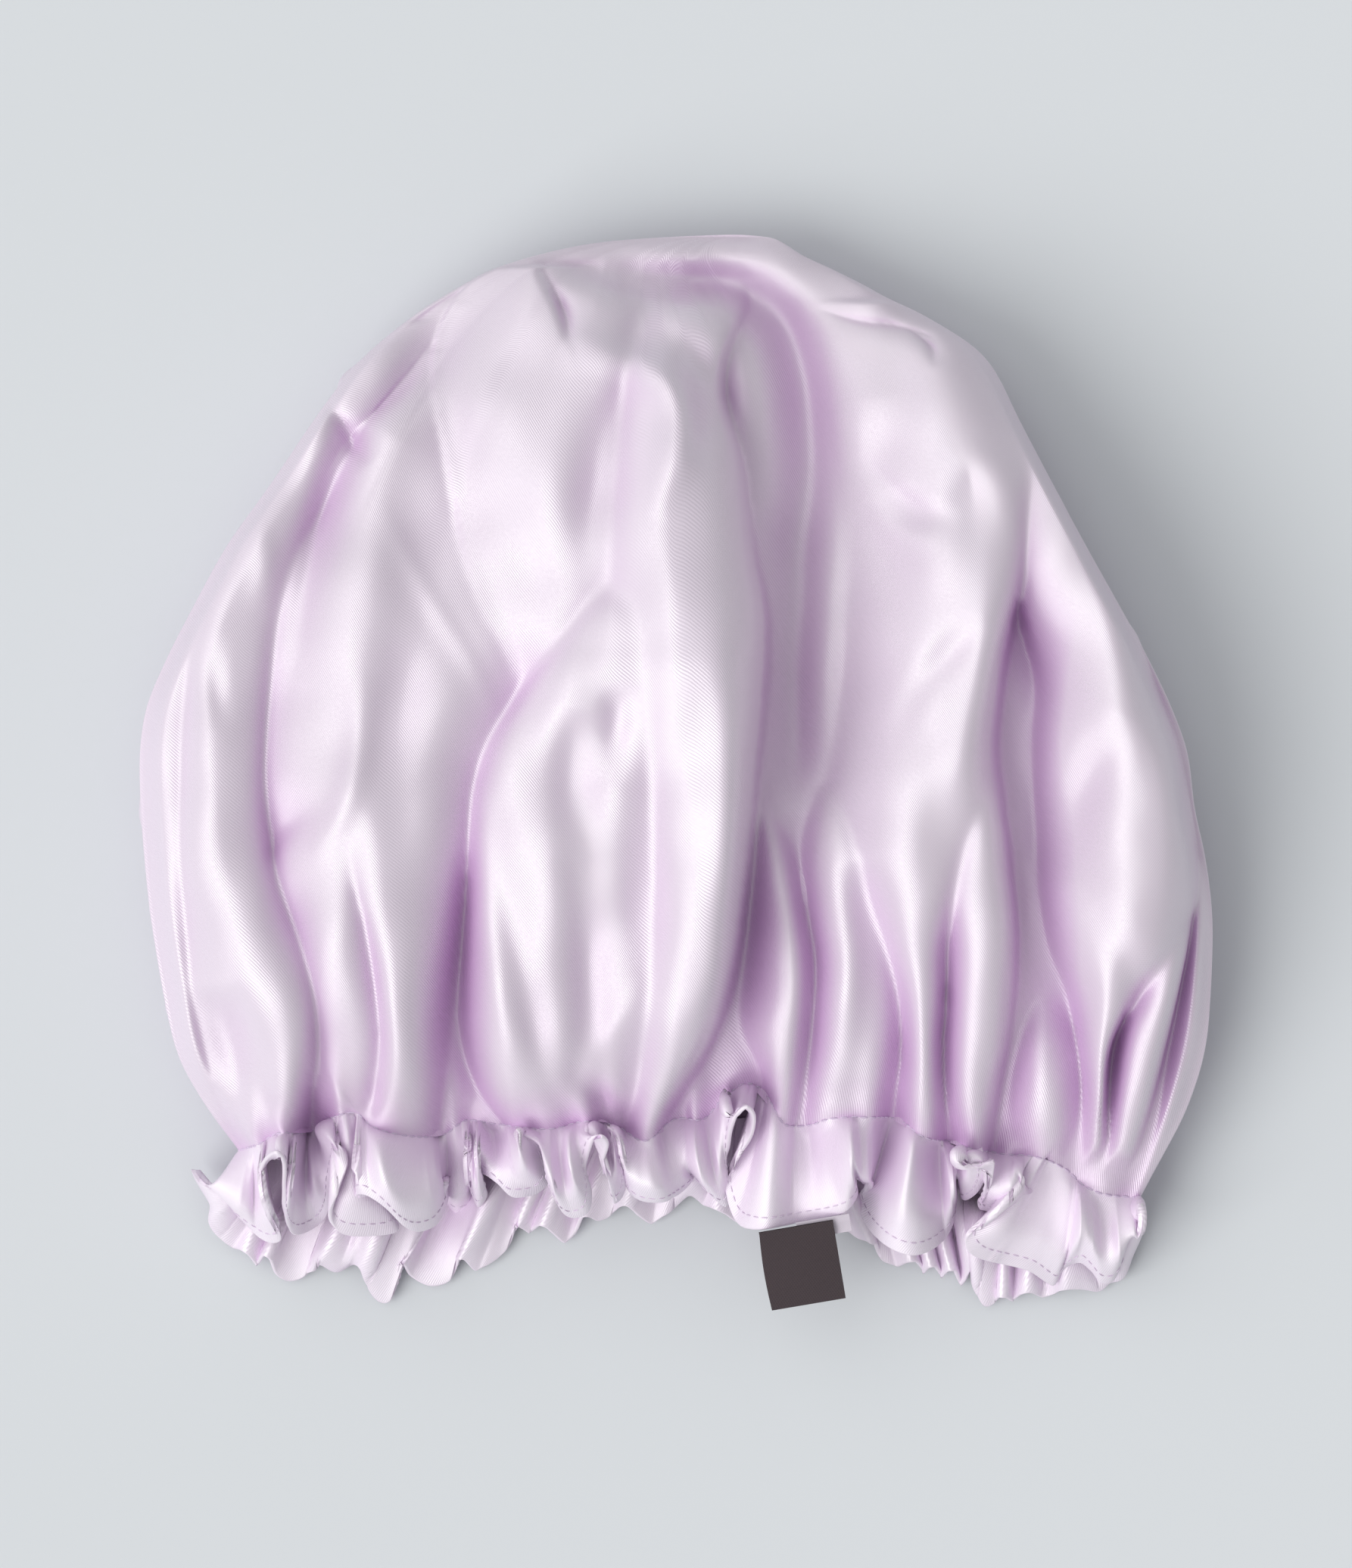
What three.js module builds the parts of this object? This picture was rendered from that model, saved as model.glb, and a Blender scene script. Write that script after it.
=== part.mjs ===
// Satin sleep cap laid flat: a puffed crown of two cloth layers, gathered by an elastic
// that runs in the hem channel, with a folded label caught in the hem's edge seam.
// Millimetres, +Z up. The mouth faces -Y and the crown rests on Z = 0.
import * as THREE from "three";

// Cloth and air
const clothThickness = 0.5;
const layerGap = 0.3;

// Crown
const crownWidth = 297;
const crownReach = 149.5;
const crownWidestY = -20;
const puffHeight = 84;
const puffTopY = 5;
const farEndHeight = 22;
const pressedFlat = 1.6;
const valleyHeight = 42;
const edgeSoftness = 3;
const crownLean = 5;

// Mouth and gathered hem
const stitchReach = 100;
const mouthWidth = 250;
const mouthHeight = 24;
const backRowHeight = 6.5;
const hemDepth = 26;
const cornerDrop = 9;
const backSwag = 44;
const channelHalf = 2.4;
const puckerDepth = 2;
const ruffleSwing = 4.2;

// Elastic and threads
const elasticWidth = 6;
const elasticThickness = 0.7;
const elasticLap = 16;
const tackPitch = 2.4;
const threadRadius = 0.3;

// Labels
const labelX = 34;
const labelTurn = THREE.MathUtils.degToRad(10);
const labelDroop = THREE.MathUtils.degToRad(12);
const labelWidth = 21;
const labelLength = 23;
const labelCloth = 0.45;
const labelGap = 0.9;
const careWidth = 15;
const careLength = 4.2;
const carePeek = 4.6;

// Mesh resolution
const topSteps = 32;
const backSteps = 20;
const crownRings = 11;
const steepSteps = [6, 10, 13, 22];

// Folds of the crown's top, each like a soft tube from the hem towards the far end. A row gives
// in percent how far it lies from the stitch row to the far end, then for the fold's left foot,
// its crest and its right foot the place across, of half the crown's width, and the height, of
// the puff's height. full tells how full the two flanks are: 2 is round, below 1 runs out gently.
const folds = [
  { // left side
    full: [2, 1],
    rows: [
      [0, -86, 19, -84, 30, -79, 24], [16, -96, 36, -91, 51, -85, 46],
      [36, -100, 42, -92, 58, -85, 54], [46, -99, 43, -91, 60, -85, 55],
      [62, -87, 43, -82, 55, -75, 52], [78, -69, 40, -64, 54, -58, 49],
      [90, -53, 31, -48, 38, -43, 36],
    ],
  },
  { // left puff
    full: [1, 2],
    rows: [
      [1, -86, 24, -73, 45, -69, 24], [10, -90, 42, -72, 64, -67, 29],
      [20, -92, 50, -75, 69, -68, 33], [31, -92, 55, -82, 68, -75, 39],
      [45, -92, 57, -86, 67, -76, 45], [57, -89, 55, -83, 63, -73, 48],
      [69, -77, 51, -72, 60, -65, 50], [80, -65, 40, -61, 48, -57, 40],
    ],
  },
  { // broad fold left of the centre
    full: [1.2, 1.4],
    rows: [
      [1, -68, 21, -53, 44, -44, 20], [11, -68, 29, -53, 64, -43, 26],
      [22, -69, 33, -54, 74, -40, 36], [32, -69, 40, -54, 74, -38, 50],
      [43, -71, 48, -56, 73, -30, 62], [58, -69, 52, -59, 70, -27, 62],
      [70, -62, 54, -57, 64, -35, 58], [81, -53, 46, -48, 55, -39, 50],
      [87, -48, 39, -44, 45, -39, 43],
    ],
  },
  { // face above it
    full: [0.8, 1],
    rows: [
      [41, -35, 48, -22, 64, -7, 60], [58, -36, 62, -18, 79, -3, 67], [70, -41, 58, -18, 78, -3, 64],
      [82, -45, 48, -18, 68, -3, 55], [92, -42, 36, -22, 53, -5, 40], [96, -36, 30, -24, 42, -13, 32],
    ],
  },
  { // centre lobe
    full: [1.4, 2],
    rows: [
      [2, -34, 24, -7, 48, -2, 21], [10, -39, 32, -4, 69, 6, 27], [21, -39, 40, 1, 85, 11, 33],
      [34, -38, 55, 5, 92, 14, 38], [43, -34, 62, 6, 95, 15, 40], [53, -23, 69, 3, 94, 16, 43],
      [63, -14, 71, 1, 92, 15, 45], [74, -13, 68, 0, 85, 12, 49], [84, -11, 56, 1, 71, 9, 49],
      [92, -5, 43, 5, 50, 13, 40],
    ],
  },
  { // small fold in the hollow
    full: [1, 2],
    rows: [
      [0, 16, 17, 19, 33, 23, 18], [12, 10, 29, 21, 52, 25, 29], [24, 11, 33, 21, 56, 25, 33],
      [35, 13, 38, 16, 49, 20, 39],
    ],
  },
  { // tongue right of the hollow
    full: [2, 2],
    rows: [
      [1, 23, 17, 32, 37, 41, 18], [14, 26, 29, 33, 59, 42, 36], [25, 24, 35, 33, 65, 41, 48],
      [34, 24, 39, 31, 61, 37, 52], [38, 26, 40, 31, 52, 36, 48],
    ],
  },
  { // right lobe
    full: [1, 1.8],
    rows: [
      [1, 41, 19, 46, 40, 51, 21], [15, 40, 37, 45, 65, 50, 45], [29, 27, 43, 46, 74, 54, 60],
      [41, 28, 42, 50, 77, 60, 42], [52, 30, 44, 54, 79, 61, 55], [68, 31, 48, 54, 74, 65, 57],
      [82, 28, 49, 47, 63, 63, 42], [92, 26, 38, 36, 44, 43, 30],
    ],
  },
  { // the fold beside it
    full: [2, 2],
    rows: [
      [1, 51, 23, 56, 43, 60, 21], [16, 50, 45, 57, 66, 63, 32], [28, 49, 60, 57, 73, 62, 37],
      [40, 53, 57, 56, 63, 59, 43],
    ],
  },
  { // big lobe on the right
    full: [1.5, 1.7],
    rows: [
      [1, 76, 21, 79, 44, 80, 21], [15, 73, 32, 79, 67, 85, 43], [26, 66, 36, 80, 74, 97, 40],
      [38, 65, 39, 80, 77, 94, 43], [50, 67, 48, 76, 76, 89, 44], [63, 65, 52, 71, 71, 79, 44],
      [75, 61, 48, 65, 61, 68, 42], [85, 53, 36, 56, 43, 59, 33],
    ],
  },
  { // strip on the right side
    full: [2, 2],
    rows: [
      [0, 81, 20, 84, 40, 88, 21], [16, 85, 39, 90, 62, 94, 38], [28, 87, 43, 93, 55, 97, 39],
    ],
  },
];

const smooth = (from, to, value) => THREE.MathUtils.smoothstep(value, from, to);
const mix = THREE.MathUtils.lerp;

const mouthTop = backRowHeight + mouthHeight;
const mouthMiddle = backRowHeight + mouthHeight / 2;

// Crown outline and heights along its length
function halfWidth(y) {
  if (y > crownWidestY) {
    const t = Math.min(1, (y - crownWidestY) / (crownReach - crownWidestY));
    return (crownWidth / 2) * Math.sqrt(Math.max(0, 1 - t ** 1.6));
  }
  const s = (crownWidestY - y) / (crownWidestY + stitchReach);
  return mix(crownWidth / 2, mouthWidth / 2, Math.min(1, s) ** 3.3);
}

function topHeight(y) {
  if (y > puffTopY) {
    const t = Math.min(1, (y - puffTopY) / (crownReach - puffTopY));
    return farEndHeight + (puffHeight - farEndHeight) * Math.sqrt(Math.max(0, 1 - t ** 2.4));
  }
  const s = (puffTopY - y) / (puffTopY + stitchReach);
  return mix(puffHeight, mouthTop, Math.min(1, s) ** 3);
}

function underHeight(u) {
  const lift = backRowHeight * (1 - smooth(0, 0.2, u));
  const curl = farEndHeight * (1 - Math.sqrt(Math.max(0, 1 - smooth(0.72, 1, u) ** 3)));
  return lift + curl;
}

const centreLine = (y) => -crownLean * Math.sin((Math.PI * (y + 35)) / 150);

// Places round the mouth: a flat loop with round ends, evenly spaced along its front half
// and along its back half, counted from the right end
function mouthPlace(share, front) {
  const radius = mouthHeight / 2;
  const straight = mouthWidth / 2 - radius;
  const quarter = (Math.PI * radius) / 2;
  const walked = (front ? share : 1 - share) * 2 * (quarter + straight);
  const onArc = walked < quarter || walked > quarter + 2 * straight;
  const past = walked < quarter ? walked : walked - 2 * straight;
  const turn = onArc ? past / radius : Math.PI / 2;
  const middle = onArc ? Math.sign(Math.cos(turn)) * straight : straight - (walked - quarter);
  const side = front ? 1 : -1;
  return {
    front,
    across: (middle + radius * Math.cos(turn)) / (mouthWidth / 2),
    lift: Math.sin(turn),
    out: new THREE.Vector3(Math.cos(turn), 0, side * Math.sin(turn)),
  };
}

const places = [];
for (let i = 0; i < topSteps; i += 1) places.push(mouthPlace(i / topSteps, true));
for (let i = 0; i < backSteps; i += 1) places.push(mouthPlace(i / backSteps, false));

// How far the stitch row lies towards the mouth at a place round it
function rowY(place) {
  const squared = place.across ** 2;
  if (place.front) return -stitchReach - cornerDrop * squared ** 2;
  return -stitchReach - cornerDrop * squared - backSwag * squared * (1 - squared);
}

// Height of one fold at a place, or zero where it does not reach
function flank(share, fullness) {
  const left = 1 - Math.min(1, Math.max(0, share));
  return (1 - left * left) ** (1 / fullness);
}

function foldHeight(fold, x, way) {
  const { rows, full } = fold;
  const above = rows.findIndex((row) => row[0] > way);
  if (above < 1) return 0;
  const low = rows[above - 1];
  const high = rows[above];
  const t = (way - low[0]) / (high[0] - low[0]);
  const [, left, leftZ, crest, crestZ, right, rightZ] = low.map((value, k) => mix(value, high[k], t));
  if (x < left || x > right) return 0;
  if (x < crest) return mix(leftZ, crestZ, flank((x - left) / (crest - left), full[0]));
  return mix(rightZ, crestZ, flank((right - x) / (right - crest), full[1]));
}

// The highest of the cloth between the folds and the folds on it, softened across
function foldedHeight(x, u, between) {
  const percentAcross = 200 / crownWidth;
  const heightAt = (side) => {
    const percents = folds.map((fold) => foldHeight(fold, side * percentAcross, 100 * u));
    return Math.max(between, (puffHeight * Math.max(...percents)) / 100);
  };
  const beside = [-2, -1, 0, 1, 2].map((step) => heightAt(x + step * edgeSoftness));
  return (beside[0] + 2 * beside[1] + 3 * beside[2] + 2 * beside[3] + beside[4]) / 9;
}

function betweenFolds(u) {
  if (u < 0.7) return mix(mouthTop, valleyHeight, smooth(0, 0.14, u));
  const t = Math.min(1, (u - 0.7) / 0.3);
  return farEndHeight + (valleyHeight - farEndHeight) * Math.sqrt(1 - t ** 2.2);
}

// One point of the crown's outer face, u running from the stitch row to the far end
function crownPoint(place, u) {
  const straightY = mix(-stitchReach, crownReach, u);
  const y = straightY + (rowY(place) + stitchReach) * (1 - u) ** 2;
  const wide = halfWidth(straightY);
  const under = underHeight(u);
  const side = mix(mouthMiddle, mix(under, topHeight(straightY), 0.42), smooth(0, 0.3, u));
  const bulge = place.front ? 2.4 : 4;
  const rounded = Math.max(0, 1 - Math.abs(place.across) ** bulge) ** (1 / bulge);
  const lift = mix(place.lift, rounded, smooth(0, 0.2, u));
  const x = centreLine(straightY) * smooth(0, 0.3, u) + wide * place.across;
  if (!place.front) {
    const z = mix(side, under, lift);
    return new THREE.Vector3(x, y, u > 0.12 && z - under < pressedFlat ? under : z);
  }
  const between = mix(side, betweenFolds(u), lift);
  const risen = foldedHeight(x, u, between) - between;
  return new THREE.Vector3(x, y, between + risen * smooth(0, 0.1, u) * smooth(0, 0.45, lift));
}

// Places of the crown's rings: those of the mouth, with one more between two where folds are steep
const crownPlaces = [];
const added = [];
places.forEach((place, i) => {
  crownPlaces.push(place);
  if (!place.front || !steepSteps.includes(i)) return;
  added.push(crownPlaces.length);
  crownPlaces.push(mouthPlace((i + 0.5) / topSteps, true));
});

// A closed skin between two offsets of the crown's outer face
function crownLayer(outside, inside) {
  const count = crownPlaces.length;
  const points = [];
  for (let ring = 0; ring < crownRings; ring += 1) {
    const u = (0.985 * (1 - Math.cos((Math.PI * ring) / (crownRings - 0.2)))) / 2;
    for (const place of crownPlaces) points.push(crownPoint(place, u));
  }
  for (const i of added) points[i].copy(points[i - 1]).lerp(points[i + 1], 0.5);
  const tip = points.length;
  points.push(new THREE.Vector3(centreLine(crownReach), crownReach, farEndHeight));
  const faces = [];
  for (let ring = 0; ring + 1 < crownRings; ring += 1) {
    for (let i = 0; i < count; i += 1) {
      const a = ring * count + i;
      const b = ring * count + ((i + 1) % count);
      faces.push(a, a + count, b, b, a + count, b + count);
    }
  }
  const last = (crownRings - 1) * count;
  for (let i = 0; i < count; i += 1) faces.push(last + i, tip, last + ((i + 1) % count));
  const face = new THREE.BufferGeometry().setFromPoints(points);
  face.setIndex(faces);
  face.computeVertexNormals();
  const normal = face.getAttribute("normal");
  const offset = (distance) => points.map((point, i) => {
    const along = new THREE.Vector3().fromBufferAttribute(normal, i);
    if (i < count) along.setY(0).normalize();
    return point.clone().addScaledVector(along, -distance);
  });
  const size = points.length;
  const skin = [...offset(outside), ...offset(inside)];
  const shell = [...faces];
  for (let i = 0; i < faces.length; i += 3) {
    shell.push(faces[i] + size, faces[i + 2] + size, faces[i + 1] + size);
  }
  for (let i = 0; i < count; i += 1) {
    const next = (i + 1) % count;
    shell.push(i, next, i + size, next, next + size, i + size);
  }
  return closedBody(skin, shell);
}

function closedBody(points, faces) {
  const body = new THREE.BufferGeometry().setFromPoints(points);
  body.setIndex(faces);
  body.computeVertexNormals();
  return body;
}

// Middle of the cloth stack along the stitch row, with two steps to each crown step
const stackMiddle = clothThickness + layerGap / 2;
const station = (place) => ({
  point: crownPoint(place, 0).addScaledVector(place.out, -stackMiddle),
  out: place.out,
});
const rowStations = places.flatMap((place, i) => {
  const here = station(place);
  const there = station(places[(i + 1) % places.length]);
  const between = {
    point: here.point.clone().lerp(there.point, 0.5),
    out: here.out.clone().add(there.out).normalize(),
  };
  return [here, between];
});

// The hem lies smooth beside the label, and its edge runs along the label's turn
function besideLabel(row) {
  if (row.out.z < 0) return 0;
  return Math.exp(-(((row.point.x - labelX) / (0.8 * labelWidth)) ** 6));
}

// A point of the hem: share of its depth, distance off the middle of the channel
function hemPoint(i, share, off) {
  const row = rowStations[i];
  const beside = besideLabel(row);
  const wave = Math.sin((Math.PI * i) / 2);
  const strength = (0.8 + 0.2 * Math.sin(1.7 * i)) * (1 - beside);
  const swing = ruffleSwing * wave * strength * smooth(0.45, 0.95, share);
  const skew = beside * Math.tan(labelTurn) * (row.point.x - labelX) * share;
  const point = row.point.clone().addScaledVector(row.out, swing + off);
  return point.add(new THREE.Vector3(0, -layerGap - hemDepth * share + skew, 0));
}

// A ring of sections: each row of points is one section, joined to the next all the way round
function closedRing(sections) {
  const size = sections[0].length;
  const points = sections.flat();
  const faces = [];
  sections.forEach((section, ring) => {
    const next = ((ring + 1) % sections.length) * size;
    for (let k = 0; k < size; k += 1) {
      const a = ring * size + k;
      const b = ring * size + ((k + 1) % size);
      const c = next + k;
      const d = next + ((k + 1) % size);
      faces.push(a, c, b, b, c, d);
    }
  });
  return closedBody(points, faces);
}

// Gathered hem: an outer and an inner leaf joined along the edge, open at the stitch row
function hemSection(i) {
  const pucker = (1 - besideLabel(rowStations[i])) * puckerDepth;
  const wave = Math.sin((Math.PI * i) / 2);
  const outer = channelHalf + (pucker * (1 + wave)) / 2;
  const inner = channelHalf + (pucker * (1 - wave)) / 2;
  const half = layerGap / 2;
  const edge = channelHalf * 0.6;
  return [
    hemPoint(i, 0, half + clothThickness),
    hemPoint(i, 0.4, outer + clothThickness),
    hemPoint(i, 0.85, edge + clothThickness),
    hemPoint(i, 1, 0),
    hemPoint(i, 0.85, -edge - clothThickness),
    hemPoint(i, 0.4, -inner - clothThickness),
    hemPoint(i, 0, -half - clothThickness),
    hemPoint(i, 0, -half),
    hemPoint(i, 0.4, -inner),
    hemPoint(i, 0.9, -0.2),
    hemPoint(i, 0.4, outer),
    hemPoint(i, 0, half),
  ];
}

// Thread round the hem, on the outer face
function threadRing(share, off) {
  const sections = rowStations.map((row, i) => {
    const at = hemPoint(i, share, off);
    const side = new THREE.Vector3(0, 1, 0);
    const up = row.out;
    return [0, 1, 2, 3].map((k) => {
      const turn = (k * Math.PI) / 2;
      return at.clone()
        .addScaledVector(up, threadRadius * Math.cos(turn))
        .addScaledVector(side, -threadRadius * Math.sin(turn));
    });
  });
  return closedRing(sections);
}

// Elastic: one flat strip, wound once round the channel, its two ends lapped at the back
const lapMiddle = 2 * topSteps + backSteps;
const elasticTop = 0.39 - elasticWidth / hemDepth;

function channelPoint(index, share, off) {
  const count = rowStations.length;
  const first = Math.floor(index);
  const here = rowStations[first % count];
  const there = rowStations[(first + 1) % count];
  const point = here.point.clone().lerp(there.point, index - first);
  const out = here.out.clone().lerp(there.out, index - first).normalize();
  point.addScaledVector(out, off);
  return point.add(new THREE.Vector3(0, -layerGap - hemDepth * share, 0));
}

function elasticStrip() {
  const spacing = rowStations[lapMiddle].point.distanceTo(rowStations[lapMiddle + 1].point);
  const overrun = elasticLap / 2 / spacing;
  const start = lapMiddle - overrun;
  const end = lapMiddle + rowStations.length + overrun;
  const apart = (elasticThickness + layerGap) / 2;
  const half = elasticThickness / 2;
  const bottom = elasticTop + elasticWidth / hemDepth;
  const indices = [start];
  for (let index = Math.ceil(start); index < end; index += 1) indices.push(index);
  indices.push(end);
  const sections = indices.map((index) => {
    const middle = mix(apart, -apart, (index - start) / (end - start));
    return [
      channelPoint(index, elasticTop, middle + half),
      channelPoint(index, bottom, middle + half),
      channelPoint(index, bottom, middle - half),
      channelPoint(index, elasticTop, middle - half),
    ];
  });
  const faces = [];
  for (let ring = 0; ring + 1 < sections.length; ring += 1) {
    for (let k = 0; k < 4; k += 1) {
      const a = ring * 4 + k;
      const b = ring * 4 + ((k + 1) % 4);
      faces.push(a, a + 4, b, b, a + 4, b + 4);
    }
  }
  const last = (sections.length - 1) * 4;
  faces.push(0, 1, 2, 0, 2, 3, last, last + 2, last + 1, last, last + 3, last + 2);
  return closedBody(sections.flat(), faces);
}

// Zigzag tack through the lapped ends, lying against the outer one
function zigzagTack() {
  const turns = Math.round((0.7 * elasticLap) / tackPitch);
  const bottom = elasticTop + elasticWidth / hemDepth;
  const low = mix(elasticTop, bottom, 0.85) * hemDepth;
  const high = mix(elasticTop, bottom, 0.4) * hemDepth;
  const thick = 2 * threadRadius;
  const left = (-turns * tackPitch) / 2;
  const zigzag = new THREE.Shape();
  for (let k = 0; k <= turns; k += 1) {
    const at = left + k * tackPitch;
    const level = k % 2 === 0 ? low : high;
    if (k === 0) zigzag.moveTo(at, level);
    else zigzag.lineTo(at, level);
  }
  for (let k = turns; k >= 0; k -= 1) {
    const level = k % 2 === 0 ? low : high;
    zigzag.lineTo(left + k * tackPitch, level + thick);
  }
  const tack = new THREE.ExtrudeGeometry(zigzag, { depth: threadRadius, bevelEnabled: false });
  const row = rowStations[lapMiddle];
  const clear = elasticThickness + layerGap * 0.8;
  tack.scale(1, -1, -1);
  tack.translate(row.point.x, row.point.y - layerGap, row.point.z - clear);
  return tack;
}

// Labels caught in the edge seam: along the label, across it and off its face
const labelPlace = {
  front: true,
  across: labelX / (mouthWidth / 2),
  lift: 1,
  out: new THREE.Vector3(0, 0, 1),
};
const labelSeam = station(labelPlace).point
  .add(new THREE.Vector3(0, -layerGap - hemDepth - labelGap, 0));

function labelFrame() {
  const across = new THREE.Vector3(Math.cos(labelTurn), Math.sin(labelTurn), 0);
  const along = new THREE.Vector3(
    Math.sin(labelTurn) * Math.cos(labelDroop),
    -Math.cos(labelTurn) * Math.cos(labelDroop),
    -Math.sin(labelDroop),
  );
  const off = new THREE.Vector3().crossVectors(along, across);
  return new THREE.Matrix4().makeBasis(along, off, across.negate()).setPosition(labelSeam);
}

const leafGap = layerGap / 2;
const labelHalf = leafGap + labelCloth;

function foldedLabel() {
  const bend = labelLength - labelHalf;
  const side = new THREE.Shape();
  side.moveTo(0, labelHalf);
  side.lineTo(0, leafGap);
  side.lineTo(bend, leafGap);
  side.absarc(bend, 0, leafGap, Math.PI / 2, -Math.PI / 2, true);
  side.lineTo(0, -leafGap);
  side.lineTo(0, -labelHalf);
  side.lineTo(bend, -labelHalf);
  side.absarc(bend, 0, labelHalf, -Math.PI / 2, Math.PI / 2, false);
  const options = { depth: labelWidth, bevelEnabled: false, curveSegments: 4 };
  const label = new THREE.ExtrudeGeometry(side, options);
  label.translate(0, 0, -labelWidth / 2);
  return label.applyMatrix4(labelFrame());
}

function careTab() {
  const tab = new THREE.BoxGeometry(careLength, labelCloth, careWidth);
  const under = -labelHalf - layerGap - labelCloth / 2;
  const right = -labelWidth / 2 - carePeek + careWidth / 2;
  tab.translate(careLength / 2, under, right);
  return tab.applyMatrix4(labelFrame());
}

const meshOf = (name, geometry) => {
  const mesh = new THREE.Mesh(geometry, new THREE.MeshStandardMaterial());
  mesh.name = name;
  return mesh;
};

const edgeFace = (channelHalf * 0.6 + clothThickness) * 0.667;
const rowFace = layerGap / 2 + clothThickness;
const faceSlope = 0.05 * (channelHalf + puckerDepth);

const cap = new THREE.Group();
cap.name = "sleep_cap";
cap.add(meshOf("outer_crown", crownLayer(0, clothThickness)));
cap.add(meshOf("inner_lining", crownLayer(clothThickness + layerGap, 2 * clothThickness + layerGap)));
cap.add(meshOf("gathered_hem", closedRing(rowStations.map((row, i) => hemSection(i)))));
cap.add(meshOf("elastic_band", elasticStrip()));
cap.add(meshOf("elastic_tack", zigzagTack()));
cap.add(meshOf("hem_stitching", threadRing(0.02, rowFace + faceSlope + layerGap + threadRadius)));
cap.add(meshOf("edge_stitching", threadRing(0.9, edgeFace + 1.5 * layerGap + threadRadius)));
cap.add(meshOf("woven_label", foldedLabel()));
cap.add(meshOf("care_label", careTab()));

export default cap;
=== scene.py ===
import math

import bpy
import numpy as np
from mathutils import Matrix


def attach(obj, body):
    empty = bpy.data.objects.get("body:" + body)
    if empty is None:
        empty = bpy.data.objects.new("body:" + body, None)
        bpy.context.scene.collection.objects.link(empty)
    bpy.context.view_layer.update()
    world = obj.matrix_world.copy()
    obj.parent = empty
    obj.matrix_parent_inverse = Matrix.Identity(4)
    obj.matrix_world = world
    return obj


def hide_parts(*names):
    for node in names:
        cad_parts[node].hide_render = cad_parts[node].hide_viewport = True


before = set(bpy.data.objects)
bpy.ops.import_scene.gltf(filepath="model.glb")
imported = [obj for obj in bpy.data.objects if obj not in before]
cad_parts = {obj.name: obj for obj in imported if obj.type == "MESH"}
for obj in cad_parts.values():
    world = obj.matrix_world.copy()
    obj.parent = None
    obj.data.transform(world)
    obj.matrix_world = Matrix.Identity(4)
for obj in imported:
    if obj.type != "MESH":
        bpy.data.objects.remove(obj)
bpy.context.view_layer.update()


# Outer crown
# A gathered circle of lilac satin, puffed up loosely as it lies on the table. Woven polyester, sewn to
# its lining around the hem. Its folds run up from the stitch row and die out towards the far end.
MM = 0.001
# Mesh: columns above and below, rows, and how strongly the rows crowd towards the far end
crown_columns_front = 420
crown_columns_back = 110
crown_rows = 320
row_crowding = 1.5
# Reach in millimetres, along the cap and of the stitch row across it, and how square the dome is
crown_far_y = 149.6
crown_hem_y = -100.0
row_left_x = -122.3
row_right_x = 130.0
dome_squareness = 2.6
# Size of the unevenness, of the long creases and of the waves at the sides, and the gathers by the row
crown_unevenness = 1.8
crown_long_creases = 1.2
side_unevenness = 2.4
gather_height = 3.0
gather_reach = 11.0
# Height of the underside at the hem and at the far end, its ripples, and its least gap to the table
back_hem_lift = 6.5
back_far_lift = 21.0
back_ripple = 1.2
table_gap = 0.15
# How gently one fold runs into the next, near the hem and near the far end
hem_fold_softness = 0.5
far_fold_softness = 1.4

# Outline seen from above, in millimetres: place along the cap, left edge, right edge
crown_outline = [
    (-124, -108, 127), (-119, -111.5, 130), (-112, -117.5, 133.5), (-106, -122.3, 136.5),
    (-98, -128, 140.5), (-90, -133, 143.6), (-80, -138, 146.4), (-68, -141, 147.9),
    (-43, -145.1, 148.6), (-25, -147, 146.6), (-10, -148, 143.4), (5, -148.2, 141.4),
    (18, -146.2, 136.8), (31, -140.8, 130.6), (44, -134.2, 123.6), (62, -124.4, 113.6),
    (79, -112.5, 104.6), (97, -100.5, 95.3), (110, -91, 89), (118, -83.4, 82.4),
    (126.5, -73, 69.2), (132, -64.8, 58), (139, -52.4, 45), (143.5, -39.6, 35.6),
    (147.2, -23, 30), (148.9, -4, 26), (149.6, 14, 18),
]
# Heights of the cloth between the folds, in millimetres: place along the cap, in the middle, at its edge
crown_heights = [
    (-124, 22, 15), (-100, 24, 17), (-92, 27, 21), (-80, 30, 26), (-60, 34, 31), (-20, 39, 35),
    (20, 40, 36), (60, 42, 35), (95, 43, 32), (110, 43, 30), (125, 39, 27), (142, 30, 24), (149, 22, 22),
]
# Stitch row on the front and on the back of the hem, in millimetres: place across, place along
front_row = [
    (-136, -108), (-124, -106.5), (-116, -103.5), (-110, -100), (-103, -100.5), (-97, -96.5),
    (-90, -94.5), (-85, -98.5), (-76, -101), (-67, -101.5), (-61, -97.5), (-54, -98), (-45, -99),
    (-36, -99), (-28, -97), (-20, -98.5), (-12, -102.5), (-4, -97), (4, -97), (9, -92), (16, -87),
    (22, -90), (27, -98), (34, -98.5), (40, -96.5), (50, -96), (60, -97), (67, -101.5), (76, -103.5),
    (88, -106.5), (100, -107.5), (108, -111), (114, -116), (122, -118.5), (138, -120),
]
back_row = [
    (-136, -106), (-122, -107), (-105, -114), (-85, -120), (-60, -114), (-30, -103), (0, -97),
    (20, -98), (45, -104), (70, -114), (90, -121), (110, -122), (130, -119), (140, -118),
]
# Places across the front of the hem where one gather ends and the next begins
gather_ends = [-122, -113, -103.5, -97, -89.5, -66, -57.5, -42, -29, -20, -13, 2, 9, 24.5, 49, 60, 77, 88,
               97, 112, 128]

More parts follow.
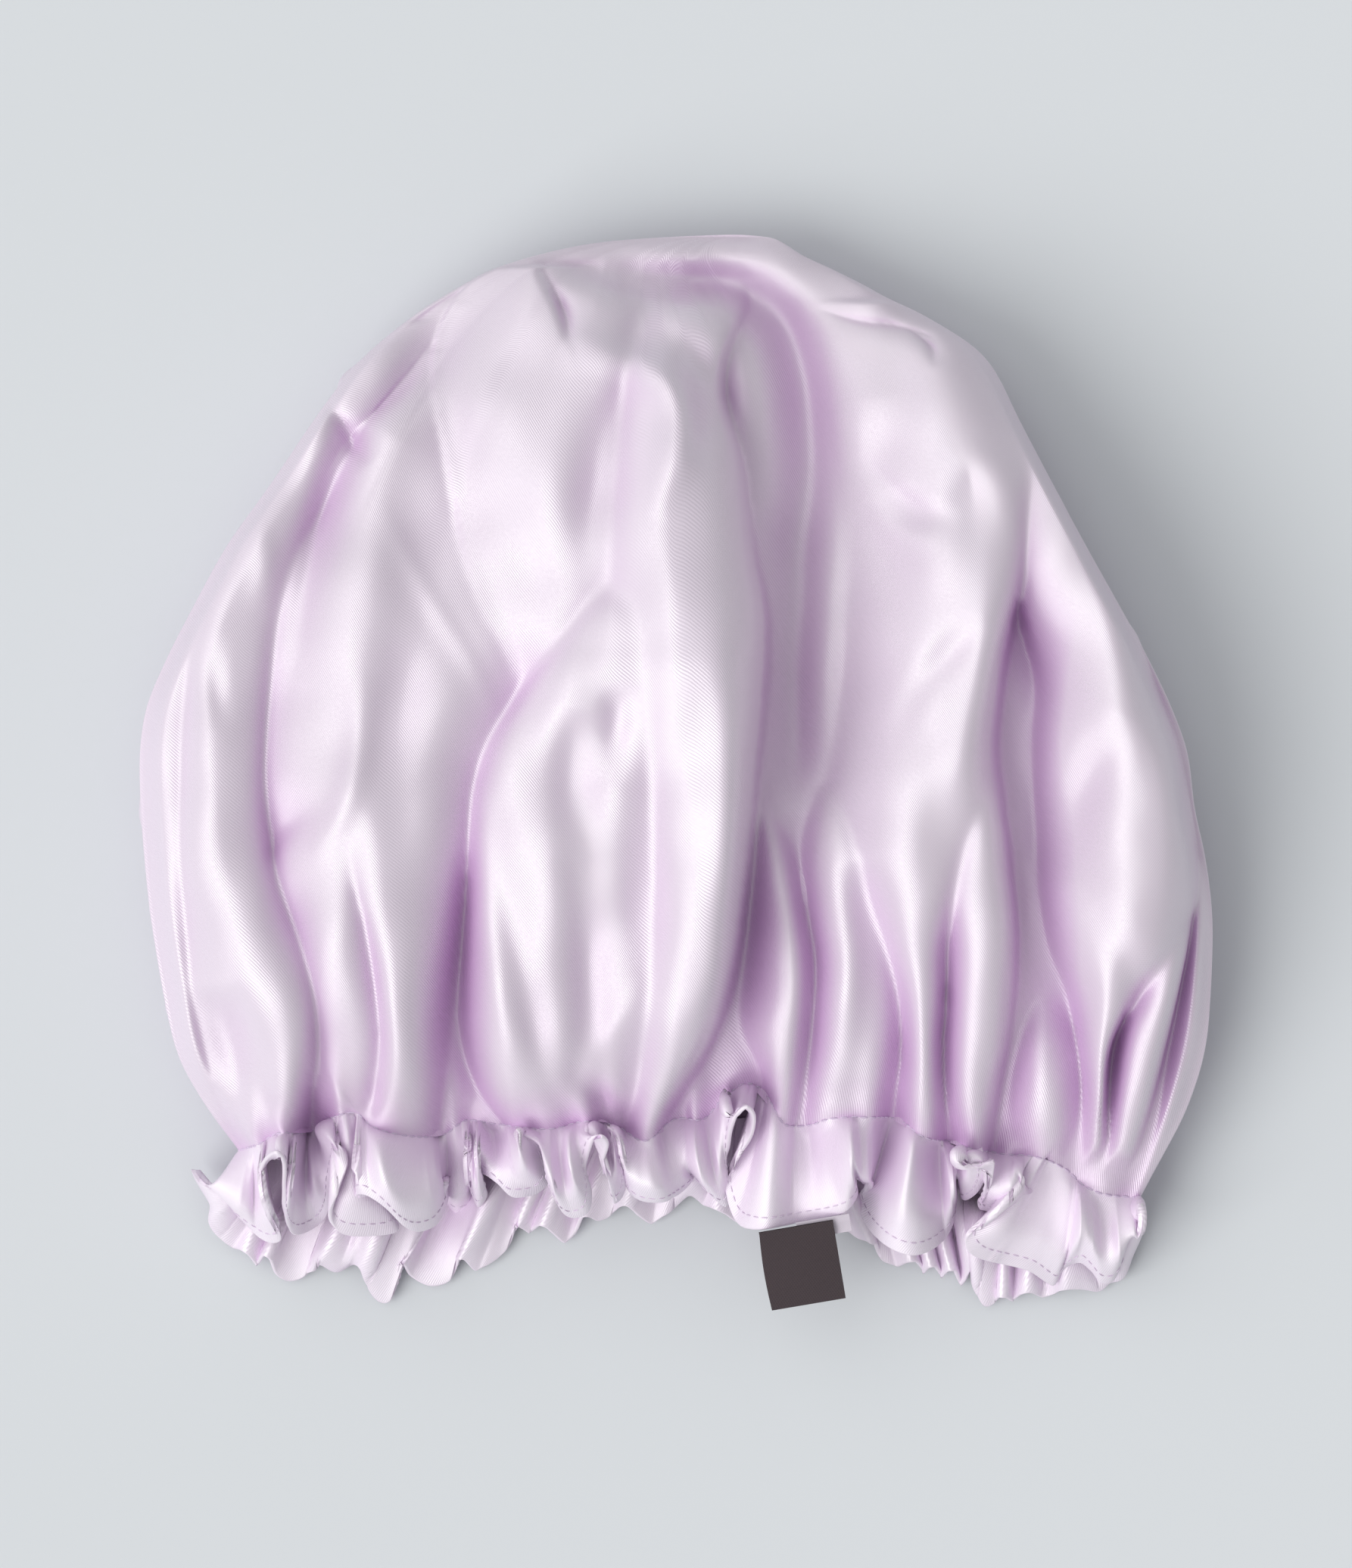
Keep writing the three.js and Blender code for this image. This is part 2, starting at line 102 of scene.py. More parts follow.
# Folds of the puffed side, each like a soft tube that runs from the hem towards the far end. Every row
# gives a place along the cap, then across and height of the fold's left foot, its crest and its right
# foot. The two numbers after the rows tell how full the left and the right flank are: 2 is a round
# flank that ends in a steep edge, 1 an arch, less than 1 a flank that runs out gently.
folds = [
    # left side, down to the table
    ([(-112, -119, 12, -117, 18, -112, 14), (-100, -127.5, 16, -124, 25, -118, 20),
      (-80, -138.5, 26, -132.5, 37, -124, 33), (-60, -142, 30, -135, 43, -126, 39),
      (-40, -145.5, 33, -136.3, 46, -127, 43), (-10, -148, 35, -136.5, 49, -126, 45),
      (15, -146.5, 36, -135.3, 50, -126, 46), (35, -138.5, 36, -132.5, 48, -122, 45),
      (55, -128.5, 36, -122, 46, -112, 44), (75, -115.5, 35, -109, 46, -100, 43),
      (95, -102, 34, -95, 45, -86, 41), (112, -89.5, 32, -82, 41, -73, 38),
      (125, -78, 26, -71, 32, -64, 30)], 2, 1),
    # left puff
    ([(-106, -124, 16, -110, 31, -103.3, 18), (-98, -128, 20, -108.5, 38, -103, 20),
      (-88, -131, 28, -107, 47, -101.5, 29), (-75, -133.5, 35, -106.5, 54, -99.4, 34),
      (-62, -135, 40, -108, 57.5, -99, 38), (-50, -136, 42, -112, 58, -101, 40),
      (-38, -136.5, 44, -117, 58, -105.5, 41), (-22, -137, 46, -122, 57.5, -111, 42),
      (-5, -137, 47, -125.5, 57, -113, 43), (12, -136, 48, -127, 56.5, -112.5, 44),
      (28, -134.5, 47, -126, 55, -111, 44), (42, -131.5, 46, -123, 53, -109, 44),
      (58, -124, 45, -115.5, 51.5, -104, 41), (72, -115, 43, -107, 50, -97, 42),
      (88, -104, 40, -97, 46, -89, 40), (100, -96, 34, -90, 40, -84, 34)], 1, 3),
    # fold left of the slit
    ([(-104, -101.5, 14, -78, 30, -66, 15), (-97, -101.3, 18, -78, 37, -65.8, 17),
      (-86, -101, 29, -77.5, 46, -65, 20), (-72, -101.5, 34, -78, 54, -63.7, 22),
      (-58, -104, 39, -79, 59, -61.6, 26), (-45, -106.5, 42, -79.5, 62, -59.6, 30),
      (-32, -111, 44, -80, 63, -58, 36), (-20, -110, 45, -80.5, 62.5, -56.5, 42),
      (-8, -102, 46, -82, 61.5, -55, 47), (6, -89, 46, -84, 58, -52, 48),
      (16, -88, 46, -85, 52, -54, 44)], 2, 3),
    # its upper run beside the dark crescent, a broad face up to the centre lobe
    ([(-40, -111, 38, -80, 55, -58, 30), (-25, -115, 43, -80.5, 62, -57, 38),
      (-8, -117, 45, -82, 62.5, -53, 47), (8, -117, 46, -83.5, 61.5, -45, 52),
      (25, -115.5, 46.5, -85.5, 60.5, -38, 53), (45, -112.5, 46.5, -88, 58.5, -40, 52),
      (60, -107, 46, -88.5, 56.5, -46, 51), (75, -99, 45.5, -84, 54, -52, 49),
      (90, -91, 43, -76, 51, -56, 46), (103, -79, 39, -71, 46, -58, 42),
      (116, -72, 33, -66, 38, -58, 36)], 0.75, 1),
    # upper left face of the centre lobe
    ([(2, -52, 43, -32, 54, -10, 50), (28, -45, 54, -27, 62, -5, 56), (45, -53, 54, -26, 65, -5, 57),
      (60, -58, 53.5, -26, 66, -5, 57), (75, -61, 52, -26, 65, -5, 55), (90, -64, 49, -26, 62, -5, 51),
      (105, -67, 44, -26, 57.5, -5, 47), (118, -67, 38, -30, 52, -5, 41), (130, -62, 32, -33, 44.5, -8, 34),
      (140, -53, 26, -36, 35, -20, 27)], 0.65, 1),
    # crest of the centre lobe
    ([(-25, -26, 32, 11, 44, 20, 28), (0, -25, 46, 11, 62, 21, 33), (14, -24, 55, 10, 74, 22.5, 34),
      (26, -23, 60, 8, 79.5, 23.7, 35), (40, -22, 61.5, 4, 79, 24.3, 36),
      (55, -21, 61.5, -1, 77.5, 22, 38), (70, -20, 60, -3, 75, 19.5, 39),
      (85, -19, 57, -3, 71, 17.5, 41), (100, -18, 52, -3, 65.5, 13.5, 42), (110, -17, 47, -1, 59.5, 13, 41),
      (120, -14, 42, 3, 52, 16, 38), (130, -8, 34, 8, 42, 20, 32), (142, 0, 20, 11, 24, 19, 18)], 0.8, 3.5),
    # lower half of the centre lobe, a broad face with a rolled left edge
    ([(-104, -46, 14, -36, 27, -12, 22), (-95, -50, 20, -38, 37, -6, 32),
      (-86, -55.5, 24, -40, 47, 0, 40), (-75, -58.5, 27, -40, 55, 4, 47),
      (-62, -58.8, 30, -38, 60.5, 8, 54), (-48, -58.2, 34, -36, 64, 10, 58),
      (-32, -57.2, 40, -34, 66, 12, 60), (-15, -56.8, 46, -30, 68, 14, 62),
      (-5, -55.5, 49, -26, 69.5, 15, 63), (8, -50.5, 52, -20, 71.5, 16, 64),
      (20, -43, 54, -14, 73, 18, 65), (32, -34, 57, -9, 74, 18, 65),
      (45, -25, 60, -4, 72, 18, 60), (62, -19, 46, -5, 55, 10, 46)], 2.2, 0.8),
    # its ridge beside the hollow
    ([(-104, -20, 16, -10, 31, -6, 16), (-95, -16, 27, -7, 40, -2.5, 18),
      (-86, -13, 38, -3, 49, 3, 20), (-75, -10, 48, 2, 58, 9.5, 23),
      (-62, -8, 56, 6, 66, 14, 26), (-48, -6, 61, 9, 71.5, 17, 28),
      (-32, -5, 64, 11, 75, 18.8, 30), (-15, -6, 66, 12, 77, 20.3, 32),
      (-5, -7, 67, 12.5, 78, 21, 33), (8, -9, 69, 12, 79, 22.2, 34),
      (20, -11, 70, 11, 79.5, 23.3, 35), (32, -13, 70, 8, 79.3, 24.2, 36),
      (45, -16, 66, 3, 78, 24, 37), (60, -16, 56, -1, 70, 21, 37)], 0.9, 3.5),
    # small fold that rises in the hollow
    ([(-102, 24.2, 14, 28.5, 27, 33.3, 15), (-85, 23, 20, 30, 38, 35, 20),
      (-70, 15, 24, 31.5, 44, 37, 24), (-55, 15.5, 26, 32, 47, 38.2, 26),
      (-40, 17, 28, 30.5, 47, 36.3, 28), (-25, 18.5, 30, 27.5, 45.5, 33.8, 31),
      (-12, 19.5, 32, 24, 41.5, 28.8, 33), (-2, 20, 33, 21.5, 36, 24.5, 33)], 1, 2),
    # right of the hollow, a tongue with a rim
    ([(-102, 33, 12, 47, 27, 60.2, 13), (-92, 34.5, 17, 48, 36, 60.7, 19),
      (-80, 36.3, 21, 48.7, 44, 62, 25), (-66, 38, 24, 49.5, 49.5, 63, 30),
      (-52, 38.6, 26, 49.5, 53, 62, 35), (-38, 36.2, 29, 48.5, 54.5, 60.5, 40),
      (-25, 35, 32, 47.5, 54, 58, 44), (-15, 36.2, 33, 46.5, 51, 55, 44),
      (-5, 39, 34, 46, 44, 54, 40)], 2, 2),
    # right lobe, lower run
    ([(-104, 60.8, 14, 69, 29, 76.2, 15), (-92, 61.3, 19, 68, 39, 74.5, 22),
      (-78, 62.5, 25, 67.5, 48, 73.5, 30), (-62, 60, 31, 67, 55, 74, 38),
      (-45, 52, 36, 67, 60, 74.5, 45), (-28, 40, 36, 68.5, 62.5, 80, 50),
      (-12, 38, 35, 71.5, 64, 90, 33), (2, 41.5, 35, 74, 64.5, 88.5, 35), (16, 45, 36, 77, 62, 87.5, 38),
      (28, 48, 36, 78, 57, 89, 40)], 1.15, 2),
    # right lobe, upper run
    ([(-25, 40, 30, 69, 58, 90, 33), (-8, 41, 34, 73, 63, 89.5, 34), (8, 43, 36, 76.5, 66, 88, 38),
      (30, 45, 37, 81, 66.5, 90, 46), (50, 46, 39, 83, 65.5, 94, 53), (70, 46, 40, 82, 62.5, 96, 52),
      (88, 44, 41, 78, 58.5, 97, 47), (104, 42, 41, 72, 53, 92, 35),
      (118, 40, 38, 65, 46, 82, 29), (130, 38, 32, 54, 37, 64, 25)], 1, 1.7),
    # the next one, up to the purple channel
    ([(-106, 77, 14, 83, 29, 88, 15), (-90, 75, 25, 82.3, 41.5, 89.4, 22),
      (-75, 74.2, 32, 82.8, 50, 91.5, 25), (-60, 74.4, 38, 84.3, 55.5, 93.3, 27),
      (-45, 73.8, 44, 85, 60, 93.7, 29), (-30, 73, 50, 84, 61.5, 92.3, 31),
      (-15, 76, 52, 83, 60, 90.5, 33), (0, 79, 48, 82.5, 53, 88, 36)], 2, 3),
    # bulge below the channel
    ([(-108, 89.5, 12, 100, 26, 112.5, 14), (-97, 90.2, 18, 101, 34, 113, 22),
      (-86, 91.5, 22, 102, 39, 113, 27), (-77, 92.5, 24, 103, 39, 113, 28),
      (-68, 93.5, 25, 103, 36, 111, 27), (-58, 94, 25, 102, 32, 108, 25),
      (-48, 94, 22, 99, 27, 104, 22)], 1, 1.3),
    # big lobe on the right
    ([(-106, 113.4, 14, 117, 30, 119.6, 15), (-92, 113, 21, 117, 41, 119.3, 21),
      (-76, 111.3, 25, 116.5, 50, 120.3, 36), (-62, 108.5, 27, 118.5, 56, 127, 43),
      (-48, 102, 29, 122, 60, 138, 42), (-34, 98.6, 30, 125, 62.5, 144, 37),
      (-18, 97.2, 31, 126.5, 64, 143.5, 35), (-4, 97.1, 33, 126, 65, 141, 36),
      (10, 98.3, 36, 124, 65, 137.5, 37), (25, 99.8, 40, 120.5, 64, 132, 37),
      (40, 96, 47, 116, 62.5, 126.5, 37), (56, 91, 50, 110, 60, 118.5, 37),
      (72, 88, 49, 104, 56.5, 110, 36), (88, 84, 46, 98, 52, 102, 35),
      (102, 82, 37, 91, 45, 94.5, 32), (113, 76, 32, 84, 37, 88, 28)], 1.2, 2),
    # strip right of the dark slit, and the right side below it
    ([(-108, 119.6, 13, 124, 29, 129, 14), (-92, 120.8, 27, 126.5, 40, 132, 25),
      (-76, 122.6, 36, 130, 47.5, 135.7, 31), (-60, 125.5, 42, 133.5, 51, 139, 35),
      (-45, 127, 43, 136.5, 50, 142, 35), (-30, 129, 40, 138, 45, 144, 34)], 2, 2),
    ([(-118, 127, 12, 130, 20, 132.5, 14), (-100, 131, 16, 136, 28, 139.8, 17),
      (-80, 135, 24, 141.5, 36, 146, 27), (-60, 138.7, 28, 145, 41, 148, 30),
      (-42, 141, 32, 146, 43, 148.4, 33), (-25, 141.5, 34, 144, 39, 146.3, 34)], 1, 2),
]
# Small valleys in the folds, each a drawn line: points across and along with the depth there, then the
# width of the cloth's round edge on the left and on the right of the line
valleys = [
    # between the two halves of the fold left of the slit
    ([(-87, -100, 5), (-83, -88, 8), (-81, -74, 9), (-82, -60, 8), (-84.5, -44, 6), (-87.5, -30, 3),
      (-89, -20, 0)], 9, 5),
    # pinched folds at the left and right of the far end
    ([(-84, 84, 0), (-89, 90, 5), (-93, 97, 5), (-98, 104, 3)], 8, 9),
    ([(-29, 117.5, 1), (-31.5, 127, 6), (-37, 138, 4)], 3, 13),
    ([(36, 129, 0), (50, 124.5, 2.5), (60, 123, 3), (69, 120.5, 2)], 5, 6),
    ([(70.5, 111, 0), (70, 117, 4), (64, 122, 0)], 6, 8),
    ([(126, 42, 0), (130, 30, 3), (133.5, 18, 4), (138, 2, 4), (141.5, -10, 3), (143, -18, 0)], 5, 8),
]
# Ridges and dents that lie on the folds, drawn in the same way: points with the height there, then the
# width on the left and on the right of the line. A dent has a height below zero.
ridges = [
    # left of the slit
    ([(-96, -20, 1), (-91, -11, 2.5), (-87.5, 0, 2.5), (-85.5, 15, 1.5), (-85, 28, 0)], 4, 4),
    ([(-48, 12, 0), (-55, 28, 0.5), (-65, 44, 0.6), (-74, 60, 0.5), (-81, 75, 0)], 3, 2),
    ([(-50, 20, 0), (-62, 33, -0.6), (-72, 48, -0.7), (-79, 64, 0)], 6, 5),
    ([(-77, -100, 0), (-76.5, -80, 1.5), (-77, -55, 2), (-80, -30, 1.5), (-85, 0, 0)], 4, 7),
    ([(-114, -98, -2), (-119, -86, -6), (-124, -70, -7), (-127, -58, 0)], 7, 8),
    ([(-89, 97, 0), (-93, 86, -3.5), (-97, 72, -5), (-100, 56, -4), (-102, 40, -2), (-103, 25, 0)], 8, 4),
    ([(-113, 42, 0), (-112, 57, 1.2), (-115.5, 71, 0)], 4, 3),
    ([(-128, 38, 0), (-126, 24, -1.5), (-123, 10, 0)], 3, 3),
    # on the centre lobe
    ([(-15.5, 23, 0), (-16, 14, -3.2), (-16.5, 5, -2.2), (-17, -5, 0)], 4, 4),
    ([(-25, 17, 0), (-27, 8, -4), (-28, -2, -4.5), (-28, -12, -2.5), (-27, -22, 0)], 13, 6),
    ([(-29, -18, 0), (-26, -30, -2.5), (-24, -46, -4), (-23.5, -64, -4.5), (-25, -80, -4),
      (-27, -90, 0)], 12, 5),
    ([(-53, -8, 1), (-53.5, -22, 3), (-52, -42, 3), (-49, -62, 2.5), (-43, -82, 0)], 4, 5),
    ([(-33, -90, -2), (-38, -72, -3), (-42, -52, -2.5), (-47, -22, 0)], 4, 6),
    ([(-26, -86, 0), (-19, -75, 1.6), (-13, -65, 1.6), (-7, -56, 0)], 4, 7),
    ([(-14, -103, -3), (-20, -93, -8), (-26, -84, -2)], 4, 4),
    ([(-48, -99, 0), (-54, -88, -3), (-58, -78, -3), (-57, -68, 0)], 4, 5),
    ([(-31, 118, 0), (-18, 113.5, 4), (-8, 110, 6), (-1, 104, 7), (2, 95, 6), (0, 84, 4),
      (-7, 68, 0)], 5, 7),
    ([(-10, 122, 0), (3, 116, -3), (9, 106, -4), (9, 94, -3), (6, 82, 0)], 5, 6),
    ([(-26, 48, 0), (-24, 68, -3), (-22, 88, -3), (-19, 104, 0)], 7, 5),
    # in the hollow and on the right lobes
    ([(-20, 139.5, 0), (-8, 137.5, -6), (3, 136, -9), (14, 134, -10), (24, 130, -13), (31, 122, -14),
      (35, 110, -14), (37, 96, -12), (37, 80, -10), (35, 60, -9), (33, 35, -8), (32, 10, -7),
      (33, -10, 0)], 7, 10),
    ([(49, -90, -2), (52, -70, -4), (53, -50, -4.5), (51, -34, -3.5), (48, -24, 0)], 5, 6),
    ([(59, 78, 0), (56, 90, -2), (54, 102, 0)], 6, 6),
    ([(50, 88, 0), (58, 78, -1.6), (67, 71, -1.8), (77, 68, 0)], 3, 4),
    ([(53, 72, 0), (61, 65, 1.3), (72, 62, 0)], 3, 4),
    ([(84, 40, 0), (76, 34, -1.5), (66, 22, -1.5), (58, 6, 0)], 4, 4),
    ([(68, 60, 0), (78, 84, 2), (88, 78, 2), (93, 60, 0)], 6, 6),
    ([(105, -32, 0), (108, -16, -4), (113, 0, -4.5), (121, 15, 0)], 9, 6),
    ([(113, -36, 0), (120, -48, -2.5), (126, -60, -2)], 5, 6),
    # far end
    ([(-40, 143, 0.5), (-30, 136.5, 1.6), (-20, 132.5, 1.8), (-8, 129.5, 1.8), (5, 128, 1.4),
      (22, 127, 0)], 3, 6),
    ([(-38, 142, 0), (-28, 138.5, -3), (-17, 138, 0)], 4, 4),
    ([(-79, 92, 0), (-72, 106, -4), (-66, 118, -5), (-63, 130, -2)], 8, 8),
]


def ease(low, high, value):
    """A smooth step: 0 before the first bound, 1 past the second one."""
    share = np.clip((value - low) / (high - low), 0.0, 1.0)
    return share * share * (3.0 - 2.0 * share)


def smooth_line(points, steps=7):
    """Points along a smooth curve through the given points."""
    knots = np.array(points, dtype=float)
    padded = np.vstack([2 * knots[0] - knots[1], knots, 2 * knots[-1] - knots[-2]])
    line = []
    for i in range(1, len(padded) - 2):
        a, b, c, d = padded[i - 1:i + 3]
        for t in np.linspace(0, 1, steps, endpoint=False):
            line.append(0.5 * (2 * b + (c - a) * t + (2 * a - 5 * b + 4 * c - d) * t ** 2
                               + (3 * b - a - 3 * c + d) * t ** 3))
    line.append(knots[-1])
    return np.array(line)


def beside_line(points, x, y, reach):
    """Which places lie near a line, how far off they are, whether on its left, and its height there."""
    line = smooth_line(points)
    low, high = line[:, :2].min(0) - reach, line[:, :2].max(0) + reach
    near = np.nonzero((x > low[0]) & (x < high[0]) & (y > low[1]) & (y < high[1]))
    x, y = x[near], y[near]
    nearest = np.full(x.shape, np.inf)
    off = np.zeros(x.shape)
    height = np.zeros(x.shape)
    for (ax, ay, az), (bx, by, bz) in zip(line[:-1], line[1:]):
        dx, dy = bx - ax, by - ay
        share = np.clip(((x - ax) * dx + (y - ay) * dy) / (dx * dx + dy * dy), 0, 1)
        away_x, away_y = x - ax - share * dx, y - ay - share * dy
        away = away_x ** 2 + away_y ** 2
        closer = away < nearest
        nearest = np.where(closer, away, nearest)
        off = np.where(closer, dx * away_y - dy * away_x, off)
        height = np.where(closer, az + share * (bz - az), height)
    return near, np.sqrt(nearest), off > 0, height


def flank(share, fullness):
    """How the cloth climbs from a fold's foot, at 0, to its crest, at 1."""
    return (1 - (1 - np.clip(share, 0, 1)) ** 2) ** (1 / fullness)


def fold_height(rows, left_fullness, right_fullness, x, y):
    """Height of one fold at each place, and far below the cloth where the fold does not reach."""
    far_below = -100.0
    line = smooth_line(rows)
    left, left_z, crest, crest_z, right, right_z = (np.interp(y, line[:, 0], line[:, k])
                                                    for k in range(1, 7))
    climb = left_z + (crest_z - left_z) * flank((x - left) / (crest - left), left_fullness)
    drop = right_z + (crest_z - right_z) * flank((right - x) / (right - crest), right_fullness)
    reached = (x > left) & (x < right) & (y > line[0, 0]) & (y < line[-1, 0])
    return np.where(reached, np.where(x < crest, climb, drop), far_below)


def fine_relief(x, y):
    """How far the small valleys, ridges and dents lift or lower the cloth at each place."""
    relief = np.zeros(x.shape)
    for points, left, right in valleys:
        near, distance, on_left, depth = beside_line(points, x, y, max(left, right))
        share = np.clip(distance / np.where(on_left, left, right), 0, 1)
        relief[near] -= np.maximum(depth, 0) * (1 - np.sqrt(1 - (1 - share) ** 2))
    for points, left, right in ridges:
        near, distance, on_left, height = beside_line(points, x, y, 2.5 * max(left, right))
        relief[near] += height * np.exp(-(distance / np.where(on_left, left, right)) ** 2)
    return relief


def undulation(x, y, size, seed):
    """Slight unevenness of cloth that has been handled: waves of many lengths and directions."""
    draw = np.random.default_rng(seed)
    waves, shortest, longest = 16, 11, 34
    total = np.zeros(np.shape(x))
    for _ in range(waves):
        turn = draw.uniform(0, 2 * np.pi)
        wave = draw.uniform(shortest, longest)
        start = draw.uniform(0, 2 * np.pi)
        total += np.sin((x * np.cos(turn) + y * np.sin(turn)) * 2 * np.pi / wave + start) * wave / longest
    return total * size / math.sqrt(waves)


def gather_crest(x):
    """0 between two gathers of the front hem, 1 on the crest of one."""
    place = np.interp(x, gather_ends, np.arange(len(gather_ends)))
    return 0.5 - 0.5 * np.cos(2 * np.pi * place)


def grid_mesh(name, points, flat, closed):
    """A mesh from rows and columns of points, with the flat cloth's own coordinates as its UVs."""
    rows, columns = points.shape[:2]
    spans = columns if closed else columns - 1
    row, column = np.meshgrid(np.arange(rows - 1), np.arange(spans), indexing="ij")
    following = (column + 1) % columns
    corners = np.stack([row * columns + column, row * columns + following,
                        (row + 1) * columns + following, (row + 1) * columns + column], axis=-1)
    corners = corners.reshape(-1, 4)
    mesh = bpy.data.meshes.new(name)
    mesh.vertices.add(rows * columns)
    mesh.vertices.foreach_set("co", (points.reshape(-1, 3) * MM).ravel())
    mesh.loops.add(corners.size)
    mesh.loops.foreach_set("vertex_index", corners.ravel())
    mesh.polygons.add(len(corners))
    mesh.polygons.foreach_set("loop_start", np.arange(0, corners.size, 4))
    mesh.polygons.foreach_set("use_smooth", np.ones(len(corners), dtype=bool))
    mesh.update(calc_edges=True)
    layer = mesh.uv_layers.new(name="flat_cloth")
    layer.data.foreach_set("uv", (flat.reshape(-1, 2)[corners.ravel()] * MM).ravel())
    mesh.validate()
    piece = bpy.data.objects.new(name, mesh)
    bpy.context.scene.collection.objects.link(piece)
    return piece


def walked_lengths(points, axis):
    """Distance walked over the cloth along its rows or its columns."""
    steps = np.linalg.norm(np.diff(points, axis=axis), axis=-1)
    start = np.zeros_like(np.take(steps, [0], axis=axis))
    return np.concatenate([start, np.cumsum(steps, axis=axis)], axis=axis)


row_front_line = smooth_line(front_row)
row_back_line = smooth_line(back_row)
outline = smooth_line(crown_outline, 5)
heights = smooth_line(crown_heights, 5)
row_runs = 1 - (1 - np.linspace(0, 1, crown_rows)) ** row_crowding


def crowded(share):
    """Places across the cloth, from -1 to 1, that crowd towards its two sides."""
    return share * (1.5 - 0.5 * share ** 2)


def crown_front():
    """The puffed upper side: its smooth dome and the same with its folds."""
    across, run = np.meshgrid(crowded(np.linspace(-1, 1, crown_columns_front)), row_runs)
    straight = crown_hem_y + run * (crown_far_y - crown_hem_y)
    row_x = np.where(across > 0, across * row_right_x, -across * row_left_x)
    row_y = np.interp(row_x, row_front_line[:, 0], row_front_line[:, 1])
    y = straight + (row_y - crown_hem_y) * (1 - run) ** 9
    left = np.interp(y[:, :1], outline[:, 0], outline[:, 1])
    right = np.interp(y[:, -1:], outline[:, 0], outline[:, 2])
    x = left + (right - left) * (across + 1) / 2
    top = np.interp(straight, heights[:, 0], heights[:, 1])
    edge = np.interp(straight, heights[:, 0], heights[:, 2])
    arch = (1 - np.abs(across) ** dome_squareness).clip(0) ** (1 / dome_squareness)
    z = edge + (top - edge) * arch
    above_row = y - row_y
    inside = ease(0, 0.05, 1 - np.abs(across)) * ease(0, 0.02, 1 - run)
    layers = np.array([z] + [fold_height(*fold, x, y) for fold in folds])
    softness = hem_fold_softness + (far_fold_softness - hem_fold_softness) * ease(-10, 60, y)
    folded = softness * np.logaddexp.reduce(layers / softness, axis=0)
    relief = fine_relief(x, y) + undulation(0.6 * x, 0.6 * y, crown_unevenness, 3)
    folded += relief * (0.25 + 0.75 * ease(0, 9, above_row)) * ease(0, 0.05, 1 - run)
    creases = undulation(x, 0.2 * y, crown_long_creases, 8)
    folded += creases * (0.35 + 0.65 * ease(70, -20, y)) * ease(0, 25, above_row)
    folded += gather_height * (gather_crest(x) - 0.6) * np.exp(-above_row / gather_reach)
    return np.stack([x, y, z], axis=-1), np.stack([x, y, z + (folded - z) * inside], axis=-1)


def crown_back(front):
    """The flat side on the table, between the same two edges."""
    share = np.linspace(1, -1, crown_columns_back + 2)[1:-1]
    across = np.broadcast_to(crowded(share), (crown_rows, crown_columns_back))
    run = row_runs[:, None]
    middle = (across + 1) / 2
    left, right = front[:, :1], front[:, -1:]
    x, chord_y, chord_z = (left[..., k] + (right - left)[..., k] * middle for k in range(3))
    row_y = np.interp(x, row_back_line[:, 0], row_back_line[:, 1])
    y = chord_y + (row_y - chord_y) * (1 - across ** 8) * (1 - run) ** 4
    lift = back_hem_lift * (1 - ease(0, 0.12, run))
    lift = lift + back_far_lift * (1 - np.sqrt((1 - ease(0.7, 1, run) ** 3).clip(0)))
    drop = (1 - np.abs(across) ** 4).clip(0) ** 0.25 * ease(0, 0.01, 1 - run)
    ripple = back_ripple * np.sin(x * 0.13 + 0.05 * y) * np.exp(-run * 8)
    wall = 4 * drop * (1 - drop) * ease(0, 0.1, run)
    x = x + np.sign(across) * undulation(1.3 * y, 0.2 * x, side_unevenness, 6) * wall
    z = np.minimum(chord_z + (lift + ripple - chord_z) * drop, chord_z)
    return np.stack([x, y, np.maximum(z, table_gap)], axis=-1)


def relaxed(points, rounds):
    """Evens out the cloth a little, leaving its hem and far end in place."""
    for _ in range(rounds):
        moved = 0.25 * (np.roll(points, 1, 1) + np.roll(points, -1, 1))
        moved[1:-1] += 0.25 * (points[2:] + points[:-2])
        points = np.concatenate([points[:1], 0.5 * points[1:-1] + 0.5 * moved[1:-1], points[-1:]])
    return points


crown_dome, crown_top = crown_front()
crown_points = relaxed(np.concatenate([crown_top, crown_back(crown_top)], axis=1), 5)
smooth_points = np.concatenate([crown_dome, crown_back(crown_dome)], axis=1)
walked = walked_lengths(smooth_points, 1)
middle_column = crown_columns_front // 2
crown_flat = np.stack([walked - walked[:, middle_column:middle_column + 1],
                       walked_lengths(smooth_points, 0)], axis=-1)
crown = grid_mesh("outer_crown_cloth", crown_points, crown_flat, closed=True)


